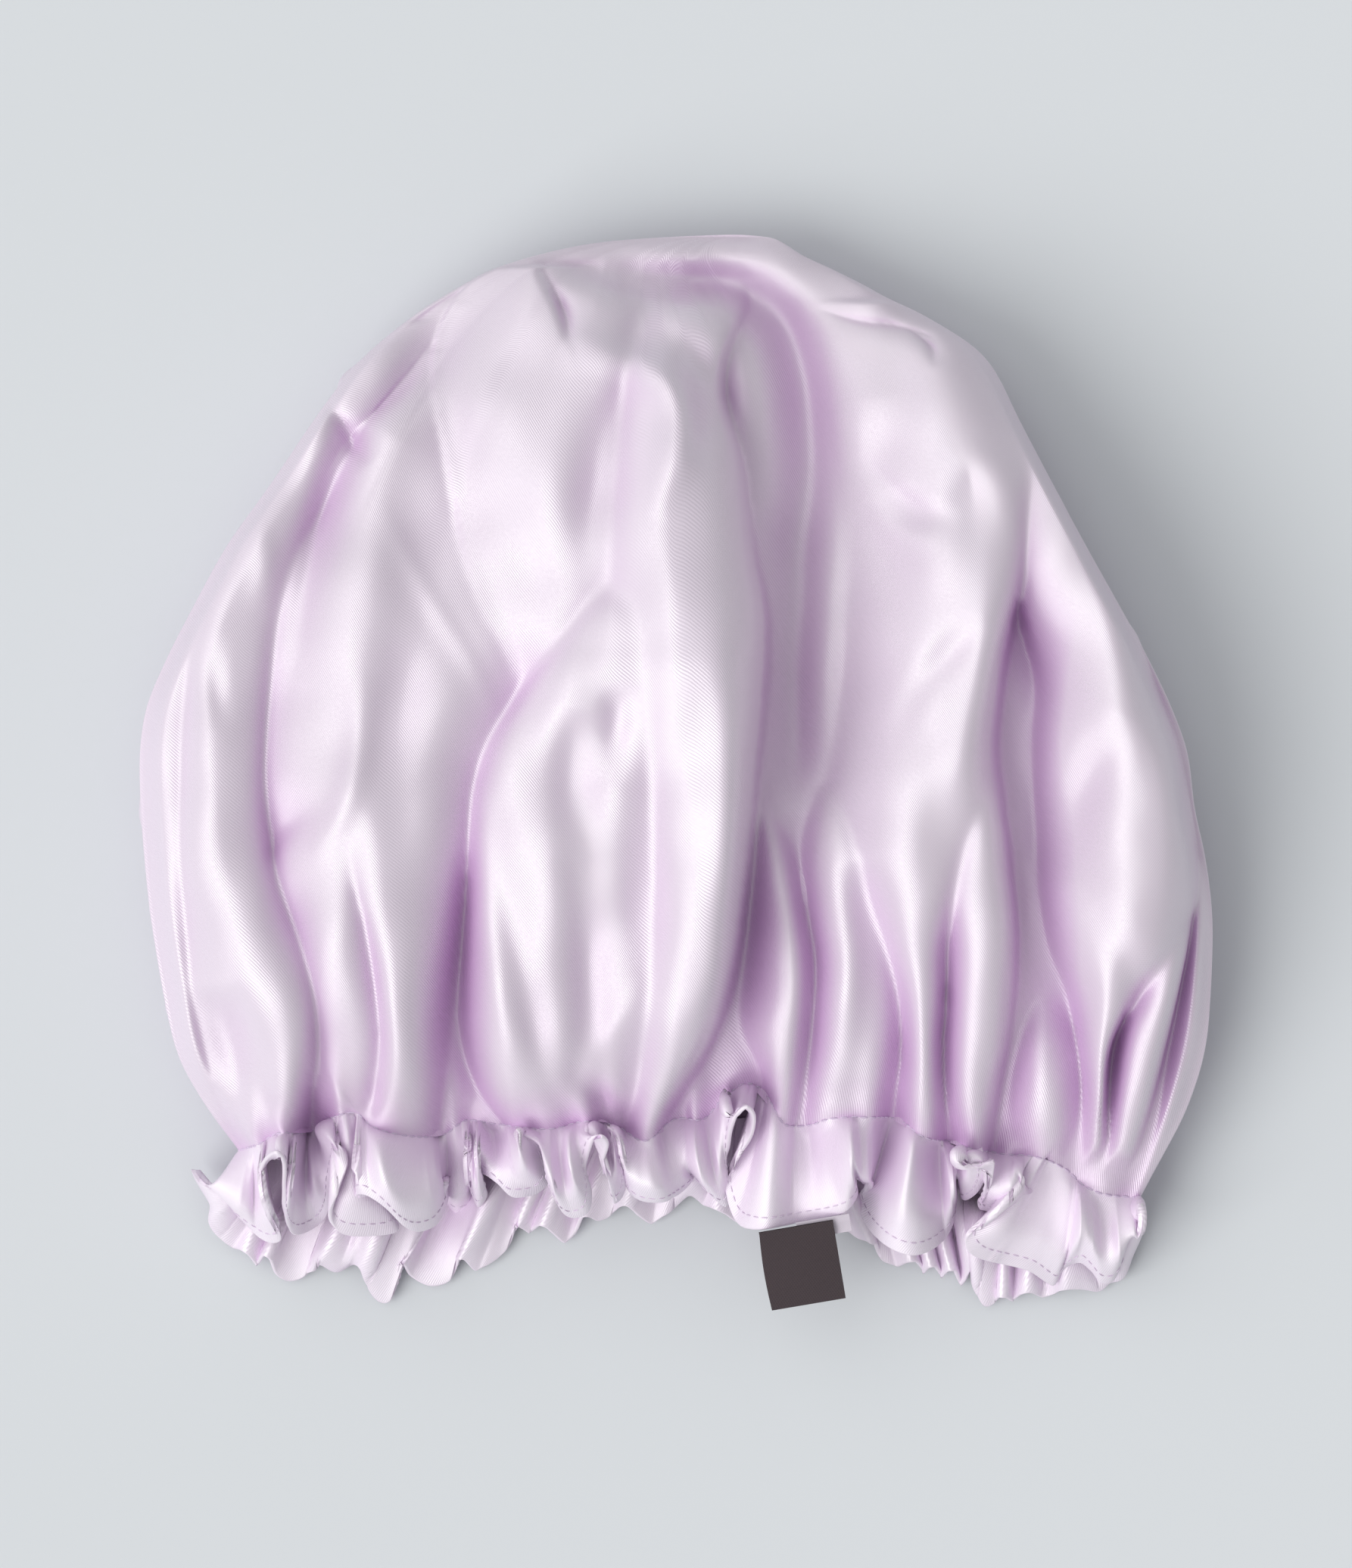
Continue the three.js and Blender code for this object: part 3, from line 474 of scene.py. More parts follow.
def satin_weave_group():
    """Fine slanted weave lines of the satin, from the flat cloth's own coordinates."""
    group = bpy.data.node_groups.new("satin_weave", "ShaderNodeTree")
    group.interface.new_socket("Line Spacing", in_out="INPUT", socket_type="NodeSocketFloat")
    group.interface.new_socket("Slant", in_out="INPUT", socket_type="NodeSocketFloat")
    group.interface.new_socket("Height", in_out="OUTPUT", socket_type="NodeSocketFloat")
    nodes, links = group.nodes, group.links
    given = nodes.new("NodeGroupInput")
    result = nodes.new("NodeGroupOutput")
    cloth = nodes.new("ShaderNodeUVMap")
    cloth.uv_map = "flat_cloth"
    parts = nodes.new("ShaderNodeSeparateXYZ")
    links.new(cloth.outputs["UV"], parts.inputs[0])

    def sums(operation, first, second):
        node = nodes.new("ShaderNodeMath")
        node.operation = operation
        for socket, value in zip(node.inputs, (first, second)):
            if isinstance(value, (int, float)):
                socket.default_value = value
            elif value is not None:
                links.new(value, socket)
        return node.outputs[0]

    slanted = sums("ADD", parts.outputs["X"], sums("MULTIPLY", parts.outputs["Y"], given.outputs["Slant"]))
    turns = sums("MULTIPLY", sums("DIVIDE", slanted, given.outputs["Line Spacing"]), 2 * math.pi)
    line = sums("SINE", turns, None)
    slub = nodes.new("ShaderNodeTexNoise")
    slub.inputs["Scale"].default_value = 900.0
    slub.inputs["Detail"].default_value = 2.0
    links.new(cloth.outputs["UV"], slub.inputs["Vector"])
    uneven = sums("MULTIPLY", line, sums("ADD", slub.outputs["Fac"], 0.35))
    links.new(uneven, result.inputs["Height"])
    return group


satin_weave = satin_weave_group()


def new_material(name):
    """A material with its tree of nodes and links."""
    material = bpy.data.materials.new(name)
    material.use_nodes = True
    return material, material.node_tree.nodes, material.node_tree.links


def two_shades(nodes, links, share, shade, colour):
    """Colours the surface between a shade, where the share is 0, and a colour, where it is 1."""
    mix = nodes.new("ShaderNodeMix")
    mix.data_type = "RGBA"
    mix.inputs["A"].default_value = (*shade, 1)
    mix.inputs["B"].default_value = (*colour, 1)
    links.new(share, mix.inputs["Factor"])
    links.new(mix.outputs["Result"], nodes["Principled BSDF"].inputs["Base Color"])


def raised_weave(nodes, links, spacing, slant, strength):
    """Lets the lines of the weave stand out from the surface, and gives their height."""
    weave = nodes.new("ShaderNodeGroup")
    weave.node_tree = satin_weave
    weave.inputs["Line Spacing"].default_value = spacing
    weave.inputs["Slant"].default_value = slant
    bump = nodes.new("ShaderNodeBump")
    bump.inputs["Strength"].default_value = strength
    bump.inputs["Distance"].default_value = 0.0001
    links.new(weave.outputs["Height"], bump.inputs["Height"])
    links.new(bump.outputs["Normal"], nodes["Principled BSDF"].inputs["Normal"])
    return weave.outputs["Height"]


def satin(name, colour, shade):
    """Glossy satin: smooth float threads that catch the light, over a fine slanted weave. Its colour
    carries painted shade: it deepens where the cloth closes in, in creases and hollows.
    """
    material, nodes, links = new_material(name)
    raised_weave(nodes, links, spacing=0.00065, slant=0.62, strength=0.32)
    # Painted shade: ambient occlusion darkens the colour towards the shade in creases, hollows and under
    # folds.
    painted_shade_reach = nodes.new("ShaderNodeAmbientOcclusion")
    painted_shade_reach.samples = 8
    painted_shade_reach.inputs["Distance"].default_value = 0.019
    painted_shade_openness = nodes.new("ShaderNodeMath")
    painted_shade_openness.operation = "MULTIPLY"
    links.new(painted_shade_reach.outputs["AO"], painted_shade_openness.inputs[0])
    links.new(painted_shade_reach.outputs["AO"], painted_shade_openness.inputs[1])
    two_shades(nodes, links, painted_shade_openness.outputs[0], shade, colour)
    threads_run = nodes.new("ShaderNodeTangent")
    threads_run.direction_type = "UV_MAP"
    threads_run.uv_map = "flat_cloth"
    surface = nodes["Principled BSDF"]
    links.new(threads_run.outputs["Tangent"], surface.inputs["Tangent"])
    surface.inputs["IOR"].default_value = 2.6
    surface.inputs["Roughness"].default_value = 0.45
    surface.inputs["Anisotropic"].default_value = 0.7
    surface.inputs["Anisotropic Rotation"].default_value = 0.25
    return material


# The satin's colour, and the painted shade that it deepens to in creases and hollows
lilac = (0.74, 0.645, 0.755)
painted_shade_lilac = (0.58, 0.36, 0.62)
crown.data.materials.append(satin("lilac_satin", lilac, painted_shade_lilac))
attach(crown, "cap")
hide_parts("outer_crown")


# Inner lining
# A second circle of the same satin inside the first, sewn to it around the hem. It hangs a little
# lower than the crown's folds, so only its edge shows in the head opening.
lining_gap = 1.4
lining_back_gap = 0.8
lining_far_gap = 2.4
lining_step = 5


def lowest_nearby(values, reach):
    """Lowest value in a square around each place."""
    for axis in (0, 1):
        values = np.min([np.roll(values, shift, axis) for shift in range(-reach, reach + 1)], axis=0)
    return values


lining_points = crown_points[::lining_step, ::lining_step].copy()
front_count = -(-crown_columns_front // lining_step)
lining_front = lining_points[:, :front_count]
lining_front[1:-2, :, 2] = lowest_nearby(lining_front[..., 2], 2)[1:-2]
lining_points = relaxed(lining_points, 6)
sideways = np.sign(lining_points[..., 0]) * np.minimum(np.abs(lining_points[..., 0]), lining_gap)
lining_points[..., 0] -= sideways
lining_points[:, :front_count, 2] -= lining_gap
lining_points[:, front_count:, 2] += lining_back_gap
lining_points[..., 1] -= lining_far_gap * ease(80, 140, lining_points[..., 1])
lining_flat = crown_flat[::lining_step, ::lining_step]
lining = grid_mesh("inner_lining_cloth", lining_points, lining_flat, closed=True)
# The lining carries the same painted shade in its hollows.
lining.data.materials.append(satin("lining_satin", lilac, painted_shade_lilac))
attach(lining, "cap")
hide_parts("inner_lining")


# Gathered hem
# The doubled edge of both circles of satin, gathered by the elastic into ruffles. The front ruffles
# stand in arches and puffs with a turned edge, over the back ones, which lie on the table.
hem_depth = 27.0
hem_cloth = 1.2
hem_leaf_rows = 15
hem_inner_rows = 8
# Share of its drawn rise that a standing edge keeps, and share of the back row left free at each side
arch_rise = 0.6
back_margin = 0.015
# Least and most slack of the cloth, in square millimetres, then its puckers and its turned edge
least_slack = 4
most_slack = 240
pucker_size = 5.0
edge_turn = 7.0
edge_draw = 1.5
# Least gaps to the table, and where across the cap the label hangs
leaf_table_gap = 0.7
hem_table_gap = 0.5
label_hangs_at = 35.0

# Edge of the front ruffle, left to right, in millimetres: place on the stitch row that the cloth comes
# from, place across and along where its edge lies, and how high the edge stands above the row
front_edge = [
    (-122, -134, -114.5, -4), (-120, -129, -120, -6), (-118.5, -122, -126.5, -7), (-117, -116.5, -131, -7),
    (-116, -112.5, -131.5, -5), (-115, -110.8, -128.5, -2), (-114, -113.5, -120, 6),
    (-113, -115.3, -112.5, 13), (-111.5, -113.5, -107, 18), (-109.5, -109.5, -104, 21),
    (-107.5, -107, -107, 18), (-106.2, -107.3, -115, 12), (-105.2, -107.8, -123, 4),
    (-104.2, -105.8, -128.3, -2), (-103, -101, -126, 0), (-101.8, -97.3, -120, 6),
    (-100.3, -95.8, -112.5, 12), (-98.8, -94, -107, 16), (-97, -92, -105.3, 18), (-95.5, -91, -109, 16),
    (-94.5, -93.3, -116, 10), (-93.5, -95, -122, 4), (-92.5, -92.5, -126.8, 0), (-91.3, -86, -128.2, -2),
    (-90.3, -79, -127.8, -4), (-89.5, -79.5, -124, -4), (-88.8, -84, -119.5, 0), (-88, -88.5, -116.5, 6),
    (-86.5, -85, -117, 10), (-83, -80, -120.5, 8), (-79, -75.5, -125, 3), (-75, -71.5, -126.5, 0),
    (-71, -67, -124.8, -1), (-68, -64.3, -119.5, -4), (-66.5, -64, -112, -8), (-65, -65.5, -122, -12),
    (-63, -62, -126.3, -13), (-60.5, -58, -124.5, -13), (-58.8, -57, -118, -10), (-57.8, -58, -110, 2),
    (-57, -57.5, -116, 0), (-56.2, -55.5, -121.5, -2), (-55.3, -53.2, -116.5, 2), (-54.3, -54.5, -111, 6),
    (-52.5, -50, -114, 8), (-50, -46, -117.5, 6), (-47, -41, -116.8, 3), (-44, -37.5, -114, 1),
    (-42, -37, -109, 3), (-40, -37.5, -103, 8), (-38.5, -35.5, -106, 8), (-37, -36, -112, 4),
    (-35.5, -33.5, -119, 0), (-34, -31.5, -123, -3), (-32.5, -28.8, -124, -3), (-31, -25.5, -121.5, 0),
    (-29.5, -24.3, -115, 5), (-28, -25, -108, 11), (-26.3, -23.5, -102, 16), (-24.5, -20.8, -99.8, 19),
    (-23, -18.8, -102, 17), (-21.8, -19.8, -108, 11), (-20.7, -18.5, -114, 5), (-19.8, -17.8, -119, 0),
    (-19, -15.8, -118, -1), (-18, -14.8, -112, 5), (-17, -15.5, -106, 10), (-15.8, -13.6, -107, 9),
    (-14.8, -14.3, -113, 3), (-13.5, -12, -117.5, 0), (-11, -8, -119.3, -1), (-8, -3, -119.2, -2),
    (-4.5, 1, -117.5, -3), (-2, 4, -115.5, -5), (2, 4.5, -113.5, -3), (5, 9.5, -119, -3),
    (8, 13.2, -121.3, -2), (10, 14.5, -116, 2), (12, 14, -108, 9), (14, 14.5, -100, 17),
    (16, 16.5, -94.5, 22), (18, 19.5, -92, 24), (20, 22, -95, 22), (21.5, 21.3, -101, 16),
    (22.5, 17.8, -107, 10), (23.3, 15, -112.5, 5), (24, 14.8, -119, 1), (24.8, 17, -125.5, -1),
    (26.5, 20.5, -127, -1), (29, 26, -126.7, 0), (33, 34, -125.4, 0), (38, 42, -123.8, 0),
    (43, 47.5, -121.8, -1), (46.5, 50.3, -118, -3), (48.5, 50, -113.5, -2), (50.5, 52, -116, -7),
    (53, 54, -117, -9), (57, 53, -119, -8), (60, 51.8, -120, -4), (62.5, 54.5, -126.5, -2),
    (65.5, 59.5, -131, -1), (68.5, 66, -133, 0), (71.5, 72, -131.5, -1), (74, 76.5, -127.5, -2),
    (76, 78.5, -121, -4), (77, 78.5, -114, -2), (78, 79.5, -118.3, 0), (79.3, 82, -116.5, 3),
    (81, 85.5, -111, 8), (83, 87.2, -107.5, 11), (84.8, 87, -112, 8), (86, 85, -118, 3),
    (87.5, 86, -121.5, 0), (89.5, 91, -122.5, -1), (92, 94.5, -120, 0), (94, 98, -116, 3),
    (96, 94, -119.5, 6), (98, 87, -124, 8), (100, 82.5, -130, 5), (102, 85.5, -134.5, 2),
    (104.5, 93, -136.8, 0), (107, 100, -138.8, -1), (109.5, 104.5, -142.5, -3), (111, 107, -143.8, -4),
    (112, 109.5, -139, -2), (113.5, 113, -136, 2), (115.5, 116, -138.5, 0), (118, 119, -142.5, -2),
    (121, 122.5, -142.5, -3), (124, 125, -138, -3), (127, 126.5, -131, -4), (129, 128.5, -124.5, -5),
]
# Edge of the back ruffle, right to left: place across, along and height above the table
back_edge = [
    (130, -128, 14), (127.5, -136, 8), (125.5, -142, 4), (122, -143.5, 2.5), (119, -146, 2),
    (115, -145.2, 4), (110, -145, 6), (107, -146.5, 3), (103, -147.8, 2), (99, -146, 6), (95, -149, 2),
    (92, -147.5, 6), (90.5, -149, 2.5), (87, -150, 2), (84.5, -145, 5), (83.5, -138.5, 9),
    (82, -143, 4), (80, -144.5, 2), (77.5, -140, 7), (75, -142.3, 2), (72, -139, 7), (70, -141, 2),
    (66.5, -137.5, 7), (63, -139, 2), (60, -138.3, 2), (57, -136.5, 3), (55, -132, 7), (52, -131, 3),
    (48, -129, 3), (44, -127, 6), (40, -126, 3), (34, -125, 3), (28, -125.5, 6), (22, -127, 2),
    (17, -126.5, 3), (12, -123, 6), (8, -121.5, 3), (4, -118.5, 6), (0, -121.5, 3), (-3, -124.5, 3),
    (-7, -127, 2), (-11, -124.5, 5), (-14, -121.5, 7), (-18, -124.5, 3), (-22, -126, 3),
    (-25.5, -125, 6), (-28, -130, 3), (-31.5, -132.5, 2),
    (-35, -129.5, 5), (-37.5, -127.5, 7), (-41, -129.7, 2.5), (-45, -127.5, 6), (-46.5, -133, 3),
    (-50, -136.5, 2), (-54, -139, 2), (-57, -140, 2), (-60.5, -136.5, 7), (-63, -142.5, 2.5),
    (-69, -144.7, 2), (-75, -141.8, 3), (-77.5, -138, 8), (-79.5, -147.5, 3), (-83, -149.2, 2),
    (-86.5, -145.5, 4), (-88.3, -139, 8), (-92, -138.5, 4), (-96, -140.3, 2.5), (-100.5, -138, 6),
    (-104, -141.7, 2.5), (-109, -143.2, 2), (-113, -141, 4), (-115, -136, 8), (-118, -139, 3),
    (-121, -135, 6), (-124, -134, 3), (-127.5, -131.5, 4), (-130.5, -127, 6), (-130, -121, 10),
]

ring = crown_points[0]
ring_front = ring[:crown_columns_front]
ring_back = np.vstack([ring[crown_columns_front - 1:], ring[:1]])


def point_on(line, places, wanted):
    """Points on a line, at wanted values of a measure that grows along it."""
    return np.stack([np.interp(wanted, places, line[:, k]) for k in range(3)], axis=-1)


front_knots = np.array(front_edge, dtype=float)
front_feet = point_on(ring_front, ring_front[:, 0], front_knots[:, 0])
front_rise = np.where(front_knots[:, 3] > 0, arch_rise, 1) * front_knots[:, 3]
front_tips = np.column_stack([front_knots[:, 1:3], front_feet[:, 2] + front_rise])
back_tips = np.array(back_edge, dtype=float)
back_walk = walked_lengths(back_tips, 0)
ring_back_walk = walked_lengths(ring_back, 0)
back_share = back_margin + (1 - 2 * back_margin) * back_walk / back_walk[-1]
back_feet = point_on(ring_back, ring_back_walk, back_share * ring_back_walk[-1])

hem_knots = np.vstack([np.hstack([front_feet, front_tips]), np.hstack([back_feet, back_tips])])
hem_knots = np.vstack([hem_knots, hem_knots[:1]])
hem_line = smooth_line(hem_knots, 9)[:-1]
hem_tips = hem_line[:, 3:]


def ring_feet(line):
    """The crown's own stitch row under each column of the ruffle."""
    closed_ring = np.vstack([ring, ring[:1]])
    nearest = np.empty_like(line)
    for i, foot in enumerate(line):
        start, step = closed_ring[:-1], np.diff(closed_ring, axis=0)
        share = np.clip(((foot - start) * step).sum(1) / (step ** 2).sum(1), 0, 1)
        place = start + share[:, None] * step
        nearest[i] = place[np.argmin(((place - foot) ** 2).sum(1))]
    return nearest


hem_feet = ring_feet(hem_line[:, :3])
chord = hem_tips - hem_feet
chord_length = np.linalg.norm(chord, axis=1, keepdims=True)
facing_up = np.clip((hem_feet[:, 2:3] - 1) / 6, 0.5, 1)
outwards = np.hstack([np.zeros_like(facing_up), -0.5 * np.ones_like(facing_up), facing_up])
outwards -= (outwards * chord).sum(1, keepdims=True) / chord_length ** 2 * chord
outwards /= np.linalg.norm(outwards, axis=1, keepdims=True)
# The cloth bows out between row and edge, less where its edge stands high and on the back ruffle
slack = np.sqrt(0.375 * np.clip(hem_depth ** 2 - chord_length ** 2, least_slack, most_slack))
slack *= 1 - 0.75 * ease(1, 9, chord[:, 2:3]) - 0.4 * ease(14, 8, hem_feet[:, 2:3])
hem_share = np.linspace(0, 1, hem_leaf_rows)[:, None, None]
hem_leaf = hem_feet + chord * hem_share + outwards * slack * np.sin(np.pi * hem_share ** 1.15) ** 0.8
edge_walk = walked_lengths(hem_tips, 0)
pucker = undulation(0.8 * edge_walk, 0 * edge_walk, pucker_size, 4)[None, :, None]
hem_leaf = hem_leaf + outwards * (pucker * np.sin(np.pi * hem_share ** 0.6))
# The free edge of the front ruffle turns under, but stays flat where the label hangs out of its seam
turned_under = ease(0.68, 1, hem_share) * ease(12, 18, hem_feet[:, 2:3]) * ease(6, 0, chord[:, 2:3])
turned_under = turned_under * ease(9, 15, np.abs(hem_feet[:, :1] - label_hangs_at))
hem_leaf -= turned_under * (edge_turn * outwards - edge_draw * chord / chord_length)
hem_leaf[..., 2] = np.maximum(hem_leaf[..., 2], leaf_table_gap)


def grid_normals(points):
    """Unit normals of a closed grid of points."""
    along = np.roll(points, -1, 1) - np.roll(points, 1, 1)
    down = np.gradient(points, axis=0)
    normals = np.cross(down, along)
    return normals / np.maximum(np.linalg.norm(normals, axis=-1, keepdims=True), 1e-9)


def flat_grid(along, down):
    """The flat cloth's own coordinates of a grid, from a walk along its rows and one down its columns."""
    return np.stack(np.broadcast_arrays(along[None, :], down[:, None]), axis=-1)


hem_normals = grid_normals(hem_leaf)
edge_normal = hem_normals[-1]
edge_out = hem_leaf[-1] - hem_leaf[-2]
edge_out /= np.linalg.norm(edge_out, axis=1, keepdims=True)
roll_turns = np.radians([60, 20, -20, -60])[:, None, None]
edge_round = edge_normal * (np.sin(roll_turns) - 1) + edge_out * np.cos(roll_turns)
edge_roll = hem_leaf[-1] + hem_cloth / 2 * edge_round
inner_rows = np.linspace(hem_leaf_rows - 1, 0, hem_inner_rows).astype(int)
inner_leaf = (hem_leaf - hem_cloth * hem_normals)[inner_rows]
hem_points = np.concatenate([hem_leaf, edge_roll, inner_leaf])
hem_points[..., 2] = np.maximum(hem_points[..., 2], hem_table_gap)
hem_flat = flat_grid(edge_walk, np.linspace(0, 2 * hem_depth, len(hem_points)))
hem = grid_mesh("gathered_hem_cloth", hem_points[::-1], hem_flat[::-1], closed=True)
# The crown's satin painted lighter here, with a paler painted shade in the ruffle's puckers.
hem.data.materials.append(satin("hem_satin_painted_lighter", colour=(0.88, 0.79, 0.9), shade=(0.78, 0.63, 0.81)))
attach(hem, "cap")
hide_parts("gathered_hem")


# Elastic band
# A flat knitted elastic, 6 mm wide, that runs once round the hem channel below the stitch row. It lies
# loose between the two layers of the hem, with its ends lapped at the back.
elastic_width = 6.0
elastic_thickness = 0.6
elastic_gap = 0.3
elastic_from = 0.17


def on_leaf(share):
    """Points and normals of the ruffle at one share of its depth."""
    rows = np.arange(hem_leaf_rows) / (hem_leaf_rows - 1)
    row = min(int(np.searchsorted(rows, share, side="right")) - 1, hem_leaf_rows - 2)
    part = share * (hem_leaf_rows - 1) - row
    points = hem_leaf[row] + part * (hem_leaf[row + 1] - hem_leaf[row])
    return points, hem_normals[row]


elastic_shares = elastic_from + np.linspace(0, elastic_width / hem_depth, 4)
elastic_outer = np.array([points - elastic_gap * normals
                          for points, normals in map(on_leaf, elastic_shares)])
elastic_inner = np.array([points - (elastic_gap + elastic_thickness) * normals
                          for points, normals in map(on_leaf, elastic_shares[::-1])])
elastic_points = np.concatenate([elastic_outer, elastic_inner, elastic_outer[:1]])
elastic_face = [elastic_width / 3] * 3 + [elastic_thickness]
elastic_across = np.concatenate([[0], np.cumsum(elastic_face + elastic_face)])
elastic = grid_mesh("elastic_band_strip", elastic_points, flat_grid(edge_walk, elastic_across), closed=True)


def woven_tape(name, colour, shade, spacing, slant, strength, roughness):
    """Matt woven or knitted tape: fine raised lines, with painted shade where they run low, from the flat
    tape's coordinates.
    """
    material, nodes, links = new_material(name)
    line_height = raised_weave(nodes, links, spacing, slant, strength)
    # Painted shade: the colour darkens from the tape's colour to its shade where the weave lines run low.
    two_shades(nodes, links, line_height, shade, colour)
    nodes["Principled BSDF"].inputs["Roughness"].default_value = roughness
    return material


elastic_knit = woven_tape("elastic_knit", colour=(0.84, 0.81, 0.85), shade=(0.76, 0.73, 0.77),
                          spacing=0.0011, slant=0.0, strength=0.6, roughness=0.8)
elastic.data.materials.append(elastic_knit)
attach(elastic, "cap")
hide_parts("elastic_band")


# Elastic tack
# A zigzag of polyester thread, sewn through the lapped ends of the elastic at the middle of the back.
# It closes the band to a ring and lies on the band's inner face.
tack_pitch = 2.4
tack_turns = 6
tack_reach = 0.3
tack_radius = 0.12
# The back of the stitch row lies lower than this, and the tack stays this near the middle
back_row_height = 12
tack_room = 10


def thread_mesh(name, paths, faces, radius):
    """Round threads along paths of equal length. The faces tell where the cloth's outside is."""
    along = np.gradient(paths, axis=1)
    along /= np.linalg.norm(along, axis=-1, keepdims=True)
    side = np.cross(along, faces)
    side /= np.linalg.norm(side, axis=-1, keepdims=True)
    up = np.cross(side, along)
    sides = 6
    turns = np.linspace(0, 2 * np.pi, sides, endpoint=False)
    end_thinning = 0.6
    thin = 1 - end_thinning * np.abs(np.linspace(-1, 1, paths.shape[1])) ** 4
    rounds = (np.cos(turns)[:, None] * up[:, :, None] + np.sin(turns)[:, None] * side[:, :, None])
    places = paths[:, :, None] + radius * thin[:, None, None] * rounds
    count, steps = paths.shape[:2]
    first, step, turn = np.meshgrid(np.arange(count), np.arange(steps - 1), np.arange(sides), indexing="ij")
    corner = (first * steps + step) * sides
    beside = (turn + 1) % sides
    quads = np.stack([corner + turn, corner + beside,
                      corner + sides + beside, corner + sides + turn], axis=-1)
    ends = [[(thread * steps + row) * sides + k for k in range(sides)[::way]]
            for thread in range(count) for row, way in ((0, -1), (steps - 1, 1))]
    mesh = bpy.data.meshes.new(name)
    mesh.from_pydata((places.reshape(-1, 3) * MM).tolist(), [], quads.reshape(-1, 4).tolist() + ends)
    mesh.polygons.foreach_set("use_smooth", np.ones(len(mesh.polygons), dtype=bool))
    piece = bpy.data.objects.new(name, mesh)
    bpy.context.scene.collection.objects.link(piece)
    return piece


def twisted_thread(name, colour, shade):
    """Sewing thread in two shades that change along each stitch: painted glints, where the twist of the
    thread would catch the light.
    """
    material, nodes, links = new_material(name)
    place = nodes.new("ShaderNodeTexCoord")
    painted_glints = nodes.new("ShaderNodeTexNoise")
    painted_glints.inputs["Scale"].default_value = 2600.0
    painted_glints.inputs["Detail"].default_value = 1.0
    links.new(place.outputs["Object"], painted_glints.inputs["Vector"])
    # Painted glints: the thread turns from its shade to its lighter colour where the noise is high.
    two_shades(nodes, links, painted_glints.outputs["Fac"], shade, colour)
    nodes["Principled BSDF"].inputs["Roughness"].default_value = 0.5
    return material


sewing_thread = twisted_thread("sewing_thread", colour=(0.69, 0.59, 0.74), shade=(0.55, 0.45, 0.60))
on_back = (hem_feet[:, 2] < back_row_height) & (np.abs(hem_feet[:, 0]) < tack_room)
back_columns = np.nonzero(on_back)[0]
tack_middle, tack_normals = on_leaf(elastic_from + 0.5 * elastic_width / hem_depth)
tack_walk = walked_lengths(tack_middle[back_columns], 0)
tack_points = 2 * tack_turns + 1
tack_at = tack_walk[-1] / 2 + np.linspace(-0.5, 0.5, tack_points) * tack_pitch * tack_turns
tack_lows, _ = on_leaf(elastic_from + (0.5 + tack_reach) * elastic_width / hem_depth)
tack_highs, _ = on_leaf(elastic_from + (0.5 - tack_reach) * elastic_width / hem_depth)
tack_inside = (elastic_gap + elastic_thickness) * tack_normals[back_columns]
tack_line = np.where((np.arange(tack_points) % 2 == 0)[:, None],
                     point_on(tack_lows[back_columns] - tack_inside, tack_walk, tack_at),
                     point_on(tack_highs[back_columns] - tack_inside, tack_walk, tack_at))
tack_faces = -point_on(tack_normals[back_columns], tack_walk, tack_at)
tack = thread_mesh("elastic_tack_thread", tack_line[None], tack_faces[None], tack_radius)
tack.data.materials.append(sewing_thread)
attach(tack, "cap")
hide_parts("elastic_tack")


# Hem stitching
# One row of separate stitches in lilac polyester thread, sewn along the foot of the ruffle. It closes
# the channel of the elastic and joins crown, lining and hem.
stitch_pitch = 2.85
stitch_length = 2.35
stitch_points = 6
stitch_rise = 0.16
stitch_dip = 0.42
hem_thread_radius = 0.26


def stitch_paths(line, normals):
    """Short arcs of thread along a closed line, each dipping into the cloth at both of its ends."""
    line = np.vstack([line, line[:1]])
    normals = np.vstack([normals, normals[:1]])
    walk = walked_lengths(line, 0)
    count = int(walk[-1] // stitch_pitch)
    middles = (np.arange(count)[:, None] + 0.5) * walk[-1] / count
    at = middles + np.linspace(-0.5, 0.5, stitch_points) * stitch_length
    faces = point_on(normals, walk, at)
    rise = stitch_rise - stitch_dip * np.linspace(-1, 1, stitch_points) ** 4
    return point_on(line, walk, at) + faces * rise[:, None], faces


hem_ring_paths, hem_ring_faces = stitch_paths(hem_leaf[0], hem_normals[1])
hem_stitching = thread_mesh("hem_stitching_thread", hem_ring_paths, hem_ring_faces, hem_thread_radius)
hem_stitching.data.materials.append(sewing_thread)
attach(hem_stitching, "cap")
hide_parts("hem_stitching")


# Edge stitching
# A second row of stitches in a finer and paler thread, sewn near the free edge of the ruffle, where it
# holds the two layers flat together.
edge_inset = 2.6
edge_thread_radius = 0.15
edge_paths, edge_faces = stitch_paths(*on_leaf(1 - edge_inset / hem_depth))
edge_stitching = thread_mesh("edge_stitching_thread", edge_paths, edge_faces, edge_thread_radius)
edge_thread = twisted_thread("edge_thread", colour=(0.79, 0.69, 0.82), shade=(0.65, 0.55, 0.68))
edge_stitching.data.materials.append(edge_thread)
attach(edge_stitching, "cap")
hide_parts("edge_stitching")


# Woven label
# A folded charcoal twill label without any text or mark, caught in the seam of the front ruffle. It is
# free to flap about that seam.
label_seam = np.array([33.5, -127.25, 29.85])
label_turn = math.radians(9.6)
label_droop = math.radians(12)
label_across = np.array([math.cos(label_turn), math.sin(label_turn), 0])
label_along = np.array([math.sin(label_turn) * math.cos(label_droop),
                        -math.cos(label_turn) * math.cos(label_droop), -math.sin(label_droop)])
label_off = np.cross(label_along, label_across)


